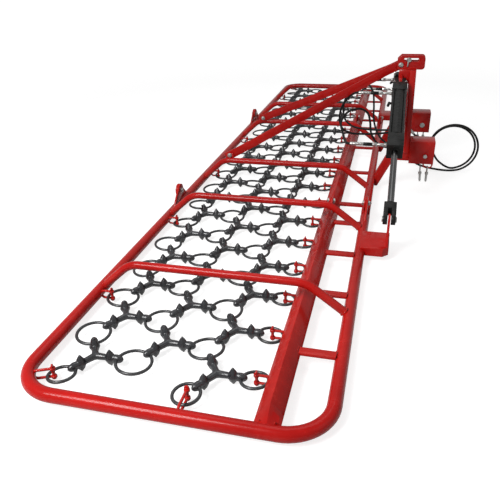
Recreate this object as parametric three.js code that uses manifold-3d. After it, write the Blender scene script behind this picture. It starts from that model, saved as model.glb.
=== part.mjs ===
// Chain harrow: a centre frame on a three-point headstock, two folding wings, a mat of cast
// tine links and rings, and a hydraulic ram for each wing. X runs ahead, Y to the left, Z up.
import * as THREE from "three";
import { mergeVertices } from "three/addons/utils/BufferGeometryUtils.js";
import Module from "manifold-3d";

const wasm = await Module();
wasm.setup();

// Frame. Lengths are millimetres, and x = 0, z = 0 is the rear tube's centreline.
const frameLength = 1035; // rear tube to front tube, between centrelines
const frameWidth = 4950; // between the two end tubes' centrelines
const tubeDiameter = 48.3;
const tubeWall = 4;
const tubeSides = 12;
const boreSides = 8;
const cornerRadius = 150;
const cornerSteps = 4;
const clearance = 0.3; // between pieces that touch
const runningGap = 0.6; // between pieces that slide past each other
const overrun = 4; // cutters pass their work by this
const weldDepth = 5; // welded pieces sink this far into what carries them
const weldTolerance = 0.001;
const memberWidth = 43; // centre section's front box member
const memberHeight = 50;
const memberWall = 5;

// Wing hinges
const hingeOut = 895; // middle of the harrow to each hinge line
const hingeRise = 77;
const earThickness = 10;
const earReach = 113;
const earNose = 36;
const boltRadius = 8;
const boltHeadRadius = 13;
const boltHeadLength = 10;
const boltSides = 8;
const hexSides = 6;

// Mat beam, an angle bar with its ridge up, and the struts that carry it
const beamRoom = 39.9; // front rings' wire to the beam's ridge
const beamFootRise = 14;
const beamLeg = 60;
const beamThickness = 6;
const strutWidth = 35;
const strutThickness = 12;
const strutRise = 10;
const wingStrutShares = [0.233, 0.478, 0.701, 0.914]; // of the wing, from its end tube
const centreStrutShares = [0.293, 0.877]; // of the half width of the centre section

// Hoops over the mat
const hoopDiameter = 33.7;
const hoopRise = 125;
const hoopRearShoulder = 140;
const hoopFrontShoulder = 168;
const hoopBendRadius = 110;
const hoopBendSteps = 2;
const hoopSides = 8;
const wingHoopShares = [0.406, 0.891]; // of the wing, from its end tube
const centreHoopShare = 0.536; // of the half width of the centre section

// Mat of tine links and rings
const linkSpan = 143.4; // tine link's middle to the middle of each ring it holds
const matStart = 182; // rear tube to the first row of links
const endRoom = 50; // end tube to the last ring, at least
const bayRoom = 200; // last ring to the front tube, at least
const ringRadius = 58.5;
const wireHalf = 5;
const ringStepAngle = 50;
const ringMostTurn = 56;
const tineHeight = 40;
const tineReach = 47;
const tineBase = 11;
const tineTip = 3; // radius of the flat on a tine that the harrow stands on
const tineFlat = 0.5; // depth of that flat
const hubHalfWidth = 14;
const hubHalfHeight = 11;
const legHalfWidth = 10;
const legHalfHeight = 9;
const eyeHalfWidth = 12;
const eyeNoseHalfWidth = 8;
const eyeHalfHeight = 6.5;
const eyeWall = 2; // eye beyond the wire, ahead of it and behind it
const eyeNose = 4;
const hookLift = 0.8;
const hookThickness = 7;

// Shackles that hang the mat in the frame
const shackleWidth = 9;
const shackleBar = 8;
const shackleRoom = 9; // half the height of its window
const shacklePin = 9;
const shackleTipRise = 29;
const rearShackleColumns = [1.5, 4.5, 7.5];

// Brackets for the rams on the wings
const ramAhead = 120; // rams' plane, ahead of the front tube
const bracketPastHinge = 249;
const bracketWidth = 176;
const bracketReach = 130;
const bracketTop = 34;
const bracketHeight = 42;
const bracketChamfer = 26;
const bracketWall = 6;
const lugPastHinge = 370;
const lugPinRise = 159;
const lugNose = 25;
const lugThickness = 10;

// Headstock
const linkBracketOut = 341;
const boxWall = 4; // of the box tubes here
const sideFrameWidth = 48;
const sideKneeAhead = 105; // of the front tube, as all of these
const sideKneeRise = 167;
const sideFootAhead = 27;
const sideFootRise = 5;
const linkBracketAhead = 208;
const linkBracketLength = 137;
const linkBracketBottom = 140;
const linkBracketHeight = 130;
const linkBracketHalf = 60;
const plateThickness = 10;
const linkPinAhead = 88; // of the link bracket's rear face
const linkPinRise = 189;
const linkPinRadius = 11;
const linkPinSides = 10;
const uprightThickness = 36;
const uprightWidth = 50;
const crossTubeSize = 50;
const mastBlockLength = 100;
const mastBlockHalf = 46;
const mastBlockBelow = 16; // rams' top pins to the block's lower face
const mastBlockAbove = 65; // and to its upper face
const mastTopOut = 40.5; // middle of the harrow to an upright's middle, at its top
const ramLugThickness = 20;
const topPinOut = 79;
const topPinRise = 541;
const topPinRadius = 12;
const headRearReach = 15; // head plates, past the mast block's ends
const headFrontReach = 46;
const headRise = 80;
const headHalf = 27; // middle to the inner face of a head plate
const headCorner = 18;
const headRearCorner = 22;
const slotStart = 36; // from the head plates' rear edge
const slotLength = 90;
const slotUp = 55.7; // from the head plates' lower edge
const topLinkPinShare = 0.34; // of the slot
const topLinkPinRadius = 9.5;
const stayBoltInset = 22; // from the head plates' rear edge
const stayBoltUp = 25.7; // from the head plates' lower edge

// Stays from the head down to the inner hoops
const stayWidth = 50;
const stayThickness = 8;
const stayRearX = 177;
const stayFromHoop = 22.72; // centre hoop's middle to the stay's, across the harrow
const stayRearRise = 153;
const stayHeadOut = 20;
const stayEndLength = 28;

// Rams. Lengths along a ram are from its top pin.
const capBlockStart = 72;
const capBlockLength = 84;
const blockSize = 84;
const barrelRadius = 41;
const barrelEnd = 608;
const barrelWall = 5;
const pistonLength = 28;
const cushion = 4; // barrel's bore beyond the piston's travel
const glandEnd = 726;
const barrelSides = 12;
const tieRodRadius = 6;
const tieRodOffset = 33;
const rodRadius = 16;
const rodSides = 12;
const rodShoulderBack = 105; // from the bottom pin
const clevisWidth = 57;
const clevisHeight = 50;
const clevisBridge = 52; // bottom pin's centreline back to the clevis slot's end
const capEarThickness = 22;
const capEarNose = 24;
const bottomPinRadius = 10;
const pinHeadRadius = 14;
const pinHeadLength = 5;

// Hydraulic fittings and hoses
const fittingRadius = 9;
const fittingSides = 8;
const portLength = 78;
const collarLength = 44;
const collarRadius = 11;
const ferruleLength = 70;
const upperPortShare = 0.9; // of the cap block
const lowerPortShare = 0.5; // of the gland block
const hoseRadius = 6.5;
const portHoseSides = 8;
const feedHoseSides = 6;
const teeLength = 46;
const teeHalf = 45;
const teeHeight = 56;
const feedFerrule = 42;
const teeStub = 34;
const teeStubOut = 26;
const couplerRadius = 13;
const couplerLength = 74;
const couplerCollar = 16;

// Linch pins, and the loops that they hang on
const loopAhead = 84; // of the link bracket's rear face
const loopSpan = 48;
const loopDrop = 22;
const loopWire = 4.5;
const loopBend = 14;
const loopSides = 6;
const linchRingRadius = 20;
const linchWire = 2.6;
const linchPinRadius = 4.5;
const linchPinLength = 44;
const linchSides = 8;

// Sizes that follow from those above
const tubeRadius = tubeDiameter / 2;
const hoopRadius = hoopDiameter / 2;
const endOut = frameWidth / 2;
const mastBlockRear = frameLength + linkBracketAhead - mastBlockLength;
const mastBlockFront = mastBlockRear + mastBlockLength;
const mastBlockBottom = topPinRise - mastBlockBelow;
const mastBlockTop = topPinRise + mastBlockAbove;
const ramX = frameLength + ramAhead;
const bracketOut = hingeOut + bracketPastHinge;
const lugOut = hingeOut + lugPastHinge;
const sideKneeX = frameLength + sideKneeAhead;
const sideFootX = frameLength + sideFootAhead;
const linkBracketX = frameLength + linkBracketAhead;
const linkPinX = linkBracketX + linkPinAhead;
const headRear = mastBlockRear - headRearReach;
const headFront = mastBlockFront + headFrontReach;
const slotRear = headRear + slotStart;
const slotFront = slotRear + slotLength;
const topLinkPinX = slotRear + topLinkPinShare * slotLength;
const stayBoltX = headRear + stayBoltInset;
const headBottom = mastBlockTop + clearance;
const slotRise = headBottom + slotUp;
const stayBoltRise = headBottom + stayBoltUp;
const centreHoopOut = centreHoopShare * hingeOut;
const stayRearOut = centreHoopOut - stayFromHoop;
const loopX0 = linkBracketX + loopAhead;
const hingeStart = hingeOut + clearance / 2;
const centreEnd = hingeOut - clearance / 2;
const wingSpan = endOut - hingeOut;
const ridgeHalf = beamLeg / Math.SQRT2;
const legDrop = beamThickness / Math.SQRT2;
const pitch = linkSpan * Math.sqrt(3);
const halfColumns = Math.floor((endOut - ringRadius - endRoom) / pitch - 0.5);
const matColumns = 2 * halfColumns + 1;
const rowLength = 1.5 * linkSpan;
const matRows = 1 + Math.floor((frameLength - matStart - linkSpan - ringRadius - bayRoom) / rowLength);
const frontRingX = matStart + (matRows - 1) * rowLength + linkSpan;
const frontWire = frontRingX + ringRadius;
const beamX = frontWire + beamRoom;
const ramPinToPin = Math.hypot(lugOut - topPinOut, topPinRise - lugPinRise);
const ramAngle = Math.asin((topPinRise - lugPinRise) / ramPinToPin);
const rodShoulder = ramPinToPin - rodShoulderBack;
const uprightX = linkBracketX - clearance - uprightThickness / 2;
const crossTubeX = linkBracketX - clearance - crossTubeSize / 2;
const loopOut = linkBracketOut + linkBracketHalf - plateThickness / 2;
const tubeReach = tubeRadius * Math.cos(Math.PI / tubeSides); // to the flats of its facets
const frameMiddle = (linkBracketX + linkBracketLength - tubeReach) / 2;

const at = (x, y, z) => new THREE.Vector3(x, y, z);

// Solids: booleans between closed geometries
function solid(geometry) {
  const bare = geometry.index ? geometry.toNonIndexed() : geometry.clone();
  bare.deleteAttribute("normal");
  bare.deleteAttribute("uv");
  const merged = mergeVertices(bare, weldTolerance);
  const mesh = new wasm.Mesh({
    numProp: 3,
    vertProperties: merged.attributes.position.array,
    triVerts: new Uint32Array(merged.index.array),
  });
  return new wasm.Manifold(mesh);
}

function geometryOf(body) {
  const mesh = body.getMesh();
  const geometry = new THREE.BufferGeometry();
  geometry.setAttribute("position", new THREE.BufferAttribute(mesh.vertProperties, 3));
  geometry.setIndex(new THREE.BufferAttribute(mesh.triVerts, 1));
  geometry.computeVertexNormals();
  return geometry;
}

function join(...shapes) {
  return geometryOf(shapes.map(solid).reduce((whole, next) => whole.add(next)));
}

function cut(shape, ...cutters) {
  return geometryOf(cutters.map(solid).reduce((whole, next) => whole.subtract(next), solid(shape)));
}

function common(shape, other) {
  return geometryOf(solid(shape).intersect(solid(other)));
}

// Box between two values on each axis
function box(x0, x1, y0, y1, z0, z1) {
  const geometry = new THREE.BoxGeometry(x1 - x0, y1 - y0, z1 - z0);
  return geometry.translate((x0 + x1) / 2, (y0 + y1) / 2, (z0 + z1) / 2);
}

// Polygon with the given number of sides, as a loop of points
function circlePoints(radius, sides, x = 0, y = 0) {
  const points = [];
  for (let i = 0; i < sides; i++) {
    const turn = (2 * Math.PI * (i + 0.5)) / sides;
    points.push(new THREE.Vector2(x + radius * Math.cos(turn), y + radius * Math.sin(turn)));
  }
  return points;
}

// Hole that a pin of the given radius clears, whichever way their corners lie
function holePoints(radius, sides, x, y) {
  return circlePoints((radius + clearance) / Math.cos(Math.PI / sides), sides, x, y);
}

// Round bar between two points
function bar(from, to, radius, sides) {
  const along = to.clone().sub(from);
  const geometry = new THREE.CylinderGeometry(radius, radius, along.length(), sides);
  const turn = new THREE.Quaternion().setFromUnitVectors(at(0, 1, 0), along.normalize());
  const middle = from.clone().add(to).multiplyScalar(0.5);
  return geometry.applyQuaternion(turn).translate(middle.x, middle.y, middle.z);
}

function shapeOf(points, holes = []) {
  const outline = (corners) => new THREE.Shape(corners.map(([u, v]) => new THREE.Vector2(u, v)));
  const shape = points instanceof THREE.Shape ? points : outline(points);
  for (const hole of holes) shape.holes.push(new THREE.Path(hole));
  return shape;
}

// Plate in the X-Z plane, from an outline in x and z, between two places on Y
function plateAlong(outline, y0, y1, holes) {
  const options = { depth: y1 - y0, bevelEnabled: false, curveSegments: 3 };
  return new THREE.ExtrudeGeometry(shapeOf(outline, holes), options)
    .rotateX(Math.PI / 2)
    .translate(0, y1, 0);
}

// Plate in the Y-Z plane, from an outline in y and z, between two places on X
function plateAcross(outline, x0, x1, holes) {
  const options = { depth: x1 - x0, bevelEnabled: false, curveSegments: 3 };
  return new THREE.ExtrudeGeometry(shapeOf(outline, holes), options)
    .rotateX(Math.PI / 2)
    .rotateZ(Math.PI / 2)
    .translate(x0, 0, 0);
}

// Plate in the X-Y plane, from an outline in x and y, between two heights
function plateFlat(outline, z0, z1) {
  const options = { depth: z1 - z0, bevelEnabled: false };
  return new THREE.ExtrudeGeometry(shapeOf(outline), options).translate(0, 0, z0);
}

// Path of straight runs with round bends, which has sections only where its direction changes
class BentPath extends THREE.Curve {
  constructor(corners, bendRadius = 0, bendSteps = 1) {
    super();
    this.stations = [];
    const last = corners.length - 1;
    corners.forEach((corner, i) => {
      if (i === 0 || i === last) {
        const from = corners[Math.max(i - 1, 0)];
        const to = corners[Math.min(i + 1, last)];
        this.stations.push({ point: corner, tangent: to.clone().sub(from).normalize() });
      } else this.addBend(corners[i - 1], corner, corners[i + 1], bendRadius, bendSteps);
    });
  }
  addBend(before, corner, after, bendRadius, bendSteps) {
    const inward = corner.clone().sub(before).normalize();
    const outward = after.clone().sub(corner).normalize();
    const turn = inward.angleTo(outward);
    const start = corner.clone().addScaledVector(inward, -bendRadius * Math.tan(turn / 2));
    const side = outward.clone().addScaledVector(inward, -Math.cos(turn)).normalize();
    for (let step = 0; step <= bendSteps; step++) {
      const angle = (turn * step) / bendSteps;
      const point = start
        .clone()
        .addScaledVector(inward, bendRadius * Math.sin(angle))
        .addScaledVector(side, bendRadius * (1 - Math.cos(angle)));
      const tangent = inward.clone().multiplyScalar(Math.cos(angle)).addScaledVector(side, Math.sin(angle));
      this.stations.push({ point, tangent });
    }
  }
  get spans() {
    return this.stations.length - 1;
  }
  getPoint(share, target = at(0, 0, 0)) {
    return target.copy(this.stations[Math.round(share * this.spans)].point);
  }
  getPointAt(share, target) {
    return this.getPoint(share, target);
  }
  getTangent(share, target = at(0, 0, 0)) {
    return target.copy(this.stations[Math.round(share * this.spans)].tangent);
  }
  getTangentAt(share, target) {
    return this.getTangent(share, target);
  }
}

// Solid round tube along a path
function pipe(path, radius, sides, steps = path.spans) {
  const section = new THREE.Shape(circlePoints(radius, sides));
  return new THREE.ExtrudeGeometry(section, { steps, extrudePath: path });
}

// Straight solid across the harrow, for a tube's outside, its bore or its clearance
function acrossPipe(x, y0, y1, radius, sides) {
  return pipe(new BentPath([at(x, y0, 0), at(x, y1, 0)]), radius, sides);
}

// Materials
const finish = (color, roughness, metalness) => () =>
  new THREE.MeshStandardMaterial({ color, roughness, metalness });
const redPaint = finish(0xb01010, 0.35, 0.1);
const castBlack = finish(0x26282b, 0.55, 0.3);
const ramBlack = finish(0x141516, 0.35, 0.2);
const brightSteel = finish(0xb9bcc0, 0.2, 1);
const zincSteel = finish(0xc9c6bb, 0.35, 1);
const hoseRubber = finish(0x101112, 0.7, 0);

const harrow = new THREE.Group();
harrow.name = "chain_harrow";
harrow.position.set(-frameMiddle, 0, tineHeight);

function place(name, geometry, material) {
  const mesh = new THREE.Mesh(geometry, material());
  mesh.name = name;
  harrow.add(mesh);
  return mesh;
}

// A piece that both sides have: it is drawn for the left side and mirrored for the right
function placePair(name, geometry, material) {
  place("left_" + name, geometry, material);
  place("right_" + name, geometry, material).scale.y = -1;
}

// A ring's wire runs inwards from its corner at a shackle, by this much at the pin's edges
const ringCornerDip = (shackleWidth / 2) * Math.tan(THREE.MathUtils.degToRad(ringMostTurn / 2));

// Hinge ear: a plate that stands on its tube or beam, its round nose about the bolt
function ear(x0, footRise, toWing, noseRadius) {
  const way = toWing ? 1 : -1;
  const nose = new THREE.Shape();
  nose.moveTo(hingeOut + way * earReach, footRise);
  const noseStart = (toWing ? 0.3 : 0.7) * Math.PI;
  nose.absarc(hingeOut, hingeRise, noseRadius, noseStart, 1.5 * Math.PI, !toWing);
  nose.lineTo(hingeOut + way * boltRadius, footRise);
  const hole = holePoints(boltRadius, boltSides, hingeOut, hingeRise);
  return plateAcross(nose, x0, x0 + earThickness, [hole]);
}

// Each ear of a pair keeps to its own side of the hinge's middle plane
const wingEar = (x, footRise, nose) => ear(x + clearance / 2, footRise, true, nose);
const centreEar = (x, footRise, nose) => ear(x - clearance / 2 - earThickness, footRise, false, nose);
const mirrored = (geometry) => geometryOf(solid(geometry).mirror([0, 1, 0]));

// Hinge bolt with its head behind the ears and its nut ahead of them
function hingeBolt(x) {
  const half = earThickness + clearance * 1.5;
  const y = hingeOut;
  const z = hingeRise;
  const shank = bar(at(x - half - overrun, y, z), at(x + half + overrun, y, z), boltRadius, boltSides);
  const head = bar(at(x - half - boltHeadLength, y, z), at(x - half, y, z), boltHeadRadius, hexSides);
  const nut = bar(at(x + half, y, z), at(x + half + boltHeadLength, y, z), boltHeadRadius, hexSides);
  return join(shank, head, nut);
}

// Shackle in the X-Z plane: two bars from what carries it at backX to an upright pin inside the ring.
// The ring's wire is about wireX. A shackle with a web closes in front of the wire.
function shackle(wireX, backX, y, webTop = 0) {
  const way = Math.sign(wireX - backX);
  const pinNear = wireX + way * (wireHalf + clearance + ringCornerDip);
  const pinMiddle = pinNear + (way * shacklePin) / 2;
  const pinFar = pinNear + way * shacklePin;
  const high = shackleRoom + shackleBar;
  const window = webTop ? backX + way * shackleBar : backX;
  const web = webTop ? [[backX, webTop], [window, webTop], [window, high]] : [[backX, high]];
  const outline = [
    ...web,
    [pinNear, high],
    [pinMiddle, shackleTipRise],
    [pinFar, high],
    [pinFar, -high],
    [pinMiddle, -shackleTipRise],
    [pinNear, -high],
    [backX, -high],
  ];
  const room = shackleRoom;
  const inner = [[window, -room], [pinNear, -room], [pinNear, room], [window, room]];
  const half = shackleWidth / 2;
  const hole = inner.map(([u, v]) => new THREE.Vector2(u, v));
  if (webTop) return plateAlong(outline, y - half, y + half, [hole]);
  return plateAlong([...outline, ...inner], y - half, y + half);
}

// The shackle on an end tube is the same piece turned a quarter turn
function endShackle(x, wireY, backY) {
  return shackle(wireY, backY, 0)
    .rotateZ(Math.PI / 2)
    .translate(x, 0, 0);
}

// Round tubes of the frame
const shackleBack = tubeRadius - weldDepth;
const rearWire = matStart - linkSpan / 2 - ringRadius;
const rearShackle = (column) => shackle(rearWire, shackleBack, column * pitch);
const isWing = (y) => y > hingeOut;
const lastColumn = halfColumns + 0.5;
const rearColumns = [...rearShackleColumns.filter((column) => column < lastColumn), lastColumn];

function wingPath(extra) {
  const corners = [
    at(0, hingeStart - extra, 0),
    at(0, endOut, 0),
    at(frameLength, endOut, 0),
    at(frameLength, hingeStart - extra, 0),
  ];
  return new BentPath(corners, cornerRadius, cornerSteps);
}

function wingTube() {
  const outside = pipe(wingPath(0), tubeRadius, tubeSides);
  const inside = pipe(wingPath(overrun), tubeRadius - tubeWall, boreSides);
  const sideX = matStart + 2.5 * linkSpan;
  const sideWire = lastColumn * pitch + ringRadius;
  return cut(
    join(
      outside,
      wingEar(0, tubeRadius - weldDepth, earNose),
      wingEar(frameLength, tubeRadius - weldDepth, earNose),
      endShackle(sideX, sideWire, endOut - shackleBack),
      ...rearColumns.filter((column) => isWing(column * pitch)).map(rearShackle),
    ),
    inside,
  );
}

function centreRearTube() {
  const outside = acrossPipe(0, -centreEnd, centreEnd, tubeRadius, tubeSides);
  const inside = acrossPipe(0, -centreEnd - overrun, centreEnd + overrun, tubeRadius - tubeWall, boreSides);
  const leftEar = centreEar(0, tubeRadius - weldDepth, earNose);
  const shackles = rearColumns.filter((column) => !isWing(column * pitch)).map(rearShackle);
  return cut(join(outside, leftEar, mirrored(leftEar), ...shackles, ...shackles.map(mirrored)), inside);
}

function memberBox(spare, endSpare) {
  const halfWidth = memberWidth / 2 + spare;
  const halfHeight = memberHeight / 2 + spare;
  const end = centreEnd + endSpare;
  return box(frameLength - halfWidth, frameLength + halfWidth, -end, end, -halfHeight, halfHeight);
}

function centreFrontMember() {
  const leftEar = centreEar(frameLength, memberHeight / 2 - weldDepth, earNose);
  return cut(join(memberBox(0, 0), leftEar, mirrored(leftEar)), memberBox(-memberWall, overrun));
}

// Mat beams, with their struts and the shackles of the front rings
const beamRidge = beamFootRise + ridgeHalf;
const beamEarFoot = beamRidge - 2 * weldDepth;
const beamEarNose = hingeRise - beamRidge - runningGap;
const beamShackleBack = beamX - ridgeHalf + 2.5 * shackleBar;
const beamShackleTop = beamFootRise + beamShackleBack - (beamX - ridgeHalf) - beamThickness;

function angleBar(y0, y1) {
  const outline = [
    [beamX - ridgeHalf, beamFootRise],
    [beamX - ridgeHalf + legDrop, beamFootRise - legDrop],
    [beamX, beamRidge - 2 * legDrop],
    [beamX + ridgeHalf - legDrop, beamFootRise - legDrop],
    [beamX + ridgeHalf, beamFootRise],
    [beamX, beamRidge],
  ];
  return plateAlong(outline, y0, y1);
}

function strut(y) {
  const rear = beamX + ridgeHalf - strutThickness;
  const half = strutWidth / 2;
  return box(rear, frameLength, y - half, y + half, strutRise, strutRise + strutThickness);
}

function beamShackle(column) {
  return shackle(frontWire, beamShackleBack, column * pitch, beamShackleTop);
}

const frontColumns = [...Array(halfColumns + 1).keys()];

function wingBeam() {
  const struts = wingStrutShares.map((share) => strut(endOut - share * wingSpan));
  const shackles = frontColumns.filter((column) => isWing(column * pitch)).map(beamShackle);
  const bars = join(
    angleBar(hingeStart, endOut),
    wingEar(beamX, beamEarFoot, beamEarNose),
    ...struts,
    ...shackles,
  );
  return cut(bars, pipe(wingPath(overrun), tubeRadius + clearance, tubeSides));
}

function centreBeam() {
  const struts = centreStrutShares.map((share) => strut(share * hingeOut));
  const columns = frontColumns.filter((column) => column > 0 && !isWing(column * pitch));
  const ownSide = [centreEar(beamX, beamEarFoot, beamEarNose), ...struts, ...columns.map(beamShackle)];
  const middle = [angleBar(-centreEnd, centreEnd), beamShackle(0)];
  return cut(join(...middle, ...ownSide, ...ownSide.map(mirrored)), memberBox(clearance, overrun));
}

// Hoops: bent tubes over the mat, cut to sit on the rear and front tubes
function hoop(y, ...rooms) {
  const corners = [
    at(0, y, 0),
    at(hoopRearShoulder, y, hoopRise),
    at(frameLength - hoopFrontShoulder, y, hoopRise),
    at(frameLength, y, 0),
  ];
  return cut(pipe(new BentPath(corners, hoopBendRadius, hoopBendSteps), hoopRadius, hoopSides), ...rooms);
}

function wingHoop(share) {
  const y = endOut - share * wingSpan;
  const rooms = [0, frameLength].map((x) =>
    acrossPipe(x, y - tubeDiameter, y + tubeDiameter, tubeRadius + clearance, tubeSides),
  );
  return hoop(y, ...rooms);
}

const stayLugNear = stayRearOut + stayThickness / 2 + clearance;
const stayLugFar = stayLugNear + stayThickness;

// The centre hoops carry the lugs of the stays
function centreHoop() {
  const rear = acrossPipe(0, 0, hingeOut, tubeRadius + clearance, tubeSides);
  const lugHalf = stayWidth / 2;
  const lug = box(
    stayRearX - lugHalf,
    stayRearX + lugHalf,
    stayLugNear,
    stayLugFar,
    hoopRise,
    stayRearRise + boltHeadRadius,
  );
  const hole = bar(
    at(stayRearX, stayLugNear - overrun, stayRearRise),
    at(stayRearX, centreHoopOut, stayRearRise),
    boltRadius + clearance,
    boltSides,
  );
  return cut(join(hoop(centreHoopOut, rear, memberBox(clearance, overrun)), lug), hole);
}

// Mat: one skin of shared corners for each section, so links and rings need no cuts
class Skin {
  constructor() {
    this.points = [];
    this.triangles = [];
  }
  corner(x, y, z) {
    this.points.push(x, y, z);
    return this.points.length / 3 - 1;
  }
  quad(a, b, c, d) {
    this.triangles.push(a, b, c, a, c, d);
  }
  peak(a, b, c, d, tip) {
    this.triangles.push(a, b, tip, b, c, tip, c, d, tip, d, a, tip);
  }
  stump([a, b, c, d], [near, left, right]) {
    this.triangles.push(a, b, near, b, c, left, c, d, left, d, a, right);
    this.triangles.push(b, left, near, d, right, left, a, near, right, near, left, right);
  }
  wall(from, to, tips = {}) {
    for (let side = 0; side < from.length; side++) {
      const next = (side + 1) % from.length;
      const corners = [from[side], from[next], to[next], to[side]];
      if (!(side in tips)) this.quad(...corners);
      else if (Array.isArray(tips[side])) this.stump(corners, tips[side]);
      else this.peak(...corners, tips[side]);
    }
  }
  geometry() {
    const geometry = new THREE.BufferGeometry();
    geometry.setAttribute("position", new THREE.Float32BufferAttribute(this.points, 3));
    geometry.setIndex(this.triangles);
    geometry.computeVertexNormals();
    return geometry;
  }
}

// Corners of one leg's sections, in the leg's own directions: along it, to its left, and up
function legFrame(skin, link, turn) {
  const ahead = Math.cos(turn);
  const left = Math.sin(turn);
  return (along, side, z) =>
    skin.corner(link.x + along * ahead - side * left, link.y + along * left + side * ahead, z);
}

const eyeNear = linkSpan - ringRadius - wireHalf - eyeWall;
const eyeFar = linkSpan - ringRadius + wireHalf + eyeWall;
const eyeTurn = Math.asin(eyeHalfWidth / ringRadius);

// Section of a leg as four corners: right low, left low, left high, right high
function legSection(corner, along, half, low, high) {
  const corners = [[-half, low], [half, low], [half, high], [-half, high]];
  return corners.map(([side, z]) => corner(along, side, z));
}

// Leg with its tine from the hub's corners out to an eye closed round the ring's wire
function leg(skin, link, turn, hub, ring) {
  const corner = legFrame(skin, link, turn);
  const after = legSection(corner, tineReach + tineBase, legHalfWidth, -legHalfHeight, legHalfHeight);
  const flat = [[-1, 0], [0.5, 0.87], [0.5, -0.87]].map(([ahead, side]) =>
    corner(tineReach + ahead * tineTip, side * tineTip, -tineHeight),
  );
  const low = link.stands ? flat : corner(tineReach, 0, tineFlat - tineHeight);
  const tips = { 0: low, 2: corner(tineReach, 0, tineHeight) };
  skin.wall(hub, after, tips);
  if (ring.section !== link.section) {
    openHook(skin, corner, after, link.section === "wing" ? 1 : -1);
    return;
  }
  const near = legSection(corner, eyeNear, eyeHalfWidth, -eyeHalfHeight, eyeHalfHeight);
  const farRight = corner(eyeFar + eyeNose, -eyeNoseHalfWidth, 0);
  const farLeft = corner(eyeFar + eyeNose, eyeNoseHalfWidth, 0);
  skin.wall(after, near);
  skin.quad(near[3], farRight, farLeft, near[2]);
  skin.quad(near[0], near[1], farLeft, farRight);
  ring.stops.push({
    turn: (turn + Math.PI) % (2 * Math.PI),
    enter: [near[1], farLeft, near[2]],
    leave: [near[0], farRight, near[3]],
  });
}

// At a hinge line the leg lies open, over or under the other section's wire
function openHook(skin, corner, after, way) {
  const close = way * (wireHalf + hookLift);
  const outer = close + way * hookThickness;
  const [low, high] = way > 0 ? [close, outer] : [outer, close];
  const bend = legSection(corner, eyeNear, legHalfWidth, low, high);
  const end = legSection(corner, eyeFar + eyeNose, eyeNoseHalfWidth, low, high);
  skin.wall(after, bend);
  skin.wall(bend, end);
  skin.quad(...end);
}

// Tine link: a three-cornered hub with a leg from each side
function tineLink(skin, link, ringAt) {
  const turns = [0, 1, 2].map((third) => (third * 2 * Math.PI) / 3);
  const hubCorner = legFrame(skin, link, 0);
  const reach = (2 * hubHalfWidth) / Math.sqrt(3);
  const ends = turns.map((turn) => {
    const angle = turn + Math.PI / 3;
    const along = reach * Math.cos(angle);
    const side = reach * Math.sin(angle);
    return [hubCorner(along, side, -hubHalfHeight), hubCorner(along, side, hubHalfHeight)];
  });
  skin.triangles.push(ends[0][1], ends[1][1], ends[2][1], ends[2][0], ends[1][0], ends[0][0]);
  turns.forEach((turn, i) => {
    const left = ends[i];
    const right = ends[(i + 2) % 3];
    const ring = ringAt(link.x + linkSpan * Math.cos(turn), link.y + linkSpan * Math.sin(turn));
    leg(skin, link, turn, [right[0], left[0], left[1], right[1]], ring);
  });
}

// Ring of three-sided wire that runs from eye to eye
function ringWire(skin, ring) {
  const stops = ring.stops.sort((a, b) => a.turn - b.turn);
  const section = (turn) => {
    const [ahead, left] = [Math.cos(turn), Math.sin(turn)];
    const corner = (radius, z) => skin.corner(ring.x + radius * ahead, ring.y + radius * left, z);
    const [outer, inner] = [ringRadius + wireHalf, ringRadius - wireHalf];
    return [corner(outer, -wireHalf), corner(inner, 0), corner(outer, wireHalf)];
  };
  for (const stop of stops)
    if (!stop.enter) stop.enter = stop.leave = section(stop.turn);
    else stop.half = eyeTurn;
  stops.forEach((stop, i) => {
    const next = stops[(i + 1) % stops.length];
    const start = stop.turn + (stop.half ?? 0);
    const arc = next.turn - (next.half ?? 0) - start + (i + 1 < stops.length ? 0 : 2 * Math.PI);
    const spans = Math.max(1, Math.round(THREE.MathUtils.radToDeg(arc) / ringStepAngle));
    let last = stop.leave;
    for (let span = 1; span < spans; span++) {
      const here = section(start + (arc * span) / spans);
      skin.wall(last, here);
      last = here;
    }
    skin.wall(last, next.enter);
  });
}

// Links in rows, every second row half a pitch over. Rings lie where the legs point.
const sectionOf = (y) => (Math.abs(y) > hingeOut ? "wing" : "centre");

function matLinks() {
  const links = [];
  for (let row = 0; row < matRows; row++) {
    const shift = row % 2;
    for (let column = 0; column < matColumns - shift; column++) {
      const y = (column + shift / 2 - halfColumns) * pitch;
      const stands = shift === 0 && column % 2 === 1;
      links.push({ x: matStart + row * rowLength, y, section: sectionOf(y), stands });
    }
  }
  return links;
}

function matSection(name, wanted) {
  const skin = new Skin();
  const rings = [];
  const ringAt = (x, y) => {
    const known = rings.find((ring) => Math.hypot(ring.x - x, ring.y - y) < wireHalf);
    if (known) return known;
    const ring = { x, y, section: sectionOf(y), stops: [] };
    rings.push(ring);
    return ring;
  };
  for (const link of matLinks().filter(wanted)) tineLink(skin, link, ringAt);
  const own = rings.filter((ring) => ring.section === name);
  for (const ring of own) {
    shackleStops(ring);
    ringWire(skin, ring);
  }
  return skin.geometry();
}

// A ring that hangs on a shackle has a section of wire just there
function shackleStops(ring) {
  const firstX = matStart - linkSpan / 2;
  const sideOut = lastColumn * pitch;
  if (Math.abs(ring.x - firstX) < wireHalf) ring.stops.push({ turn: Math.PI });
  else if (Math.abs(ring.x - frontRingX) < wireHalf) ring.stops.push({ turn: 0 });
  else if (Math.abs(Math.abs(ring.y) - sideOut) < wireHalf) ring.stops.push({ turn: Math.PI / 2 });
}

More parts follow.
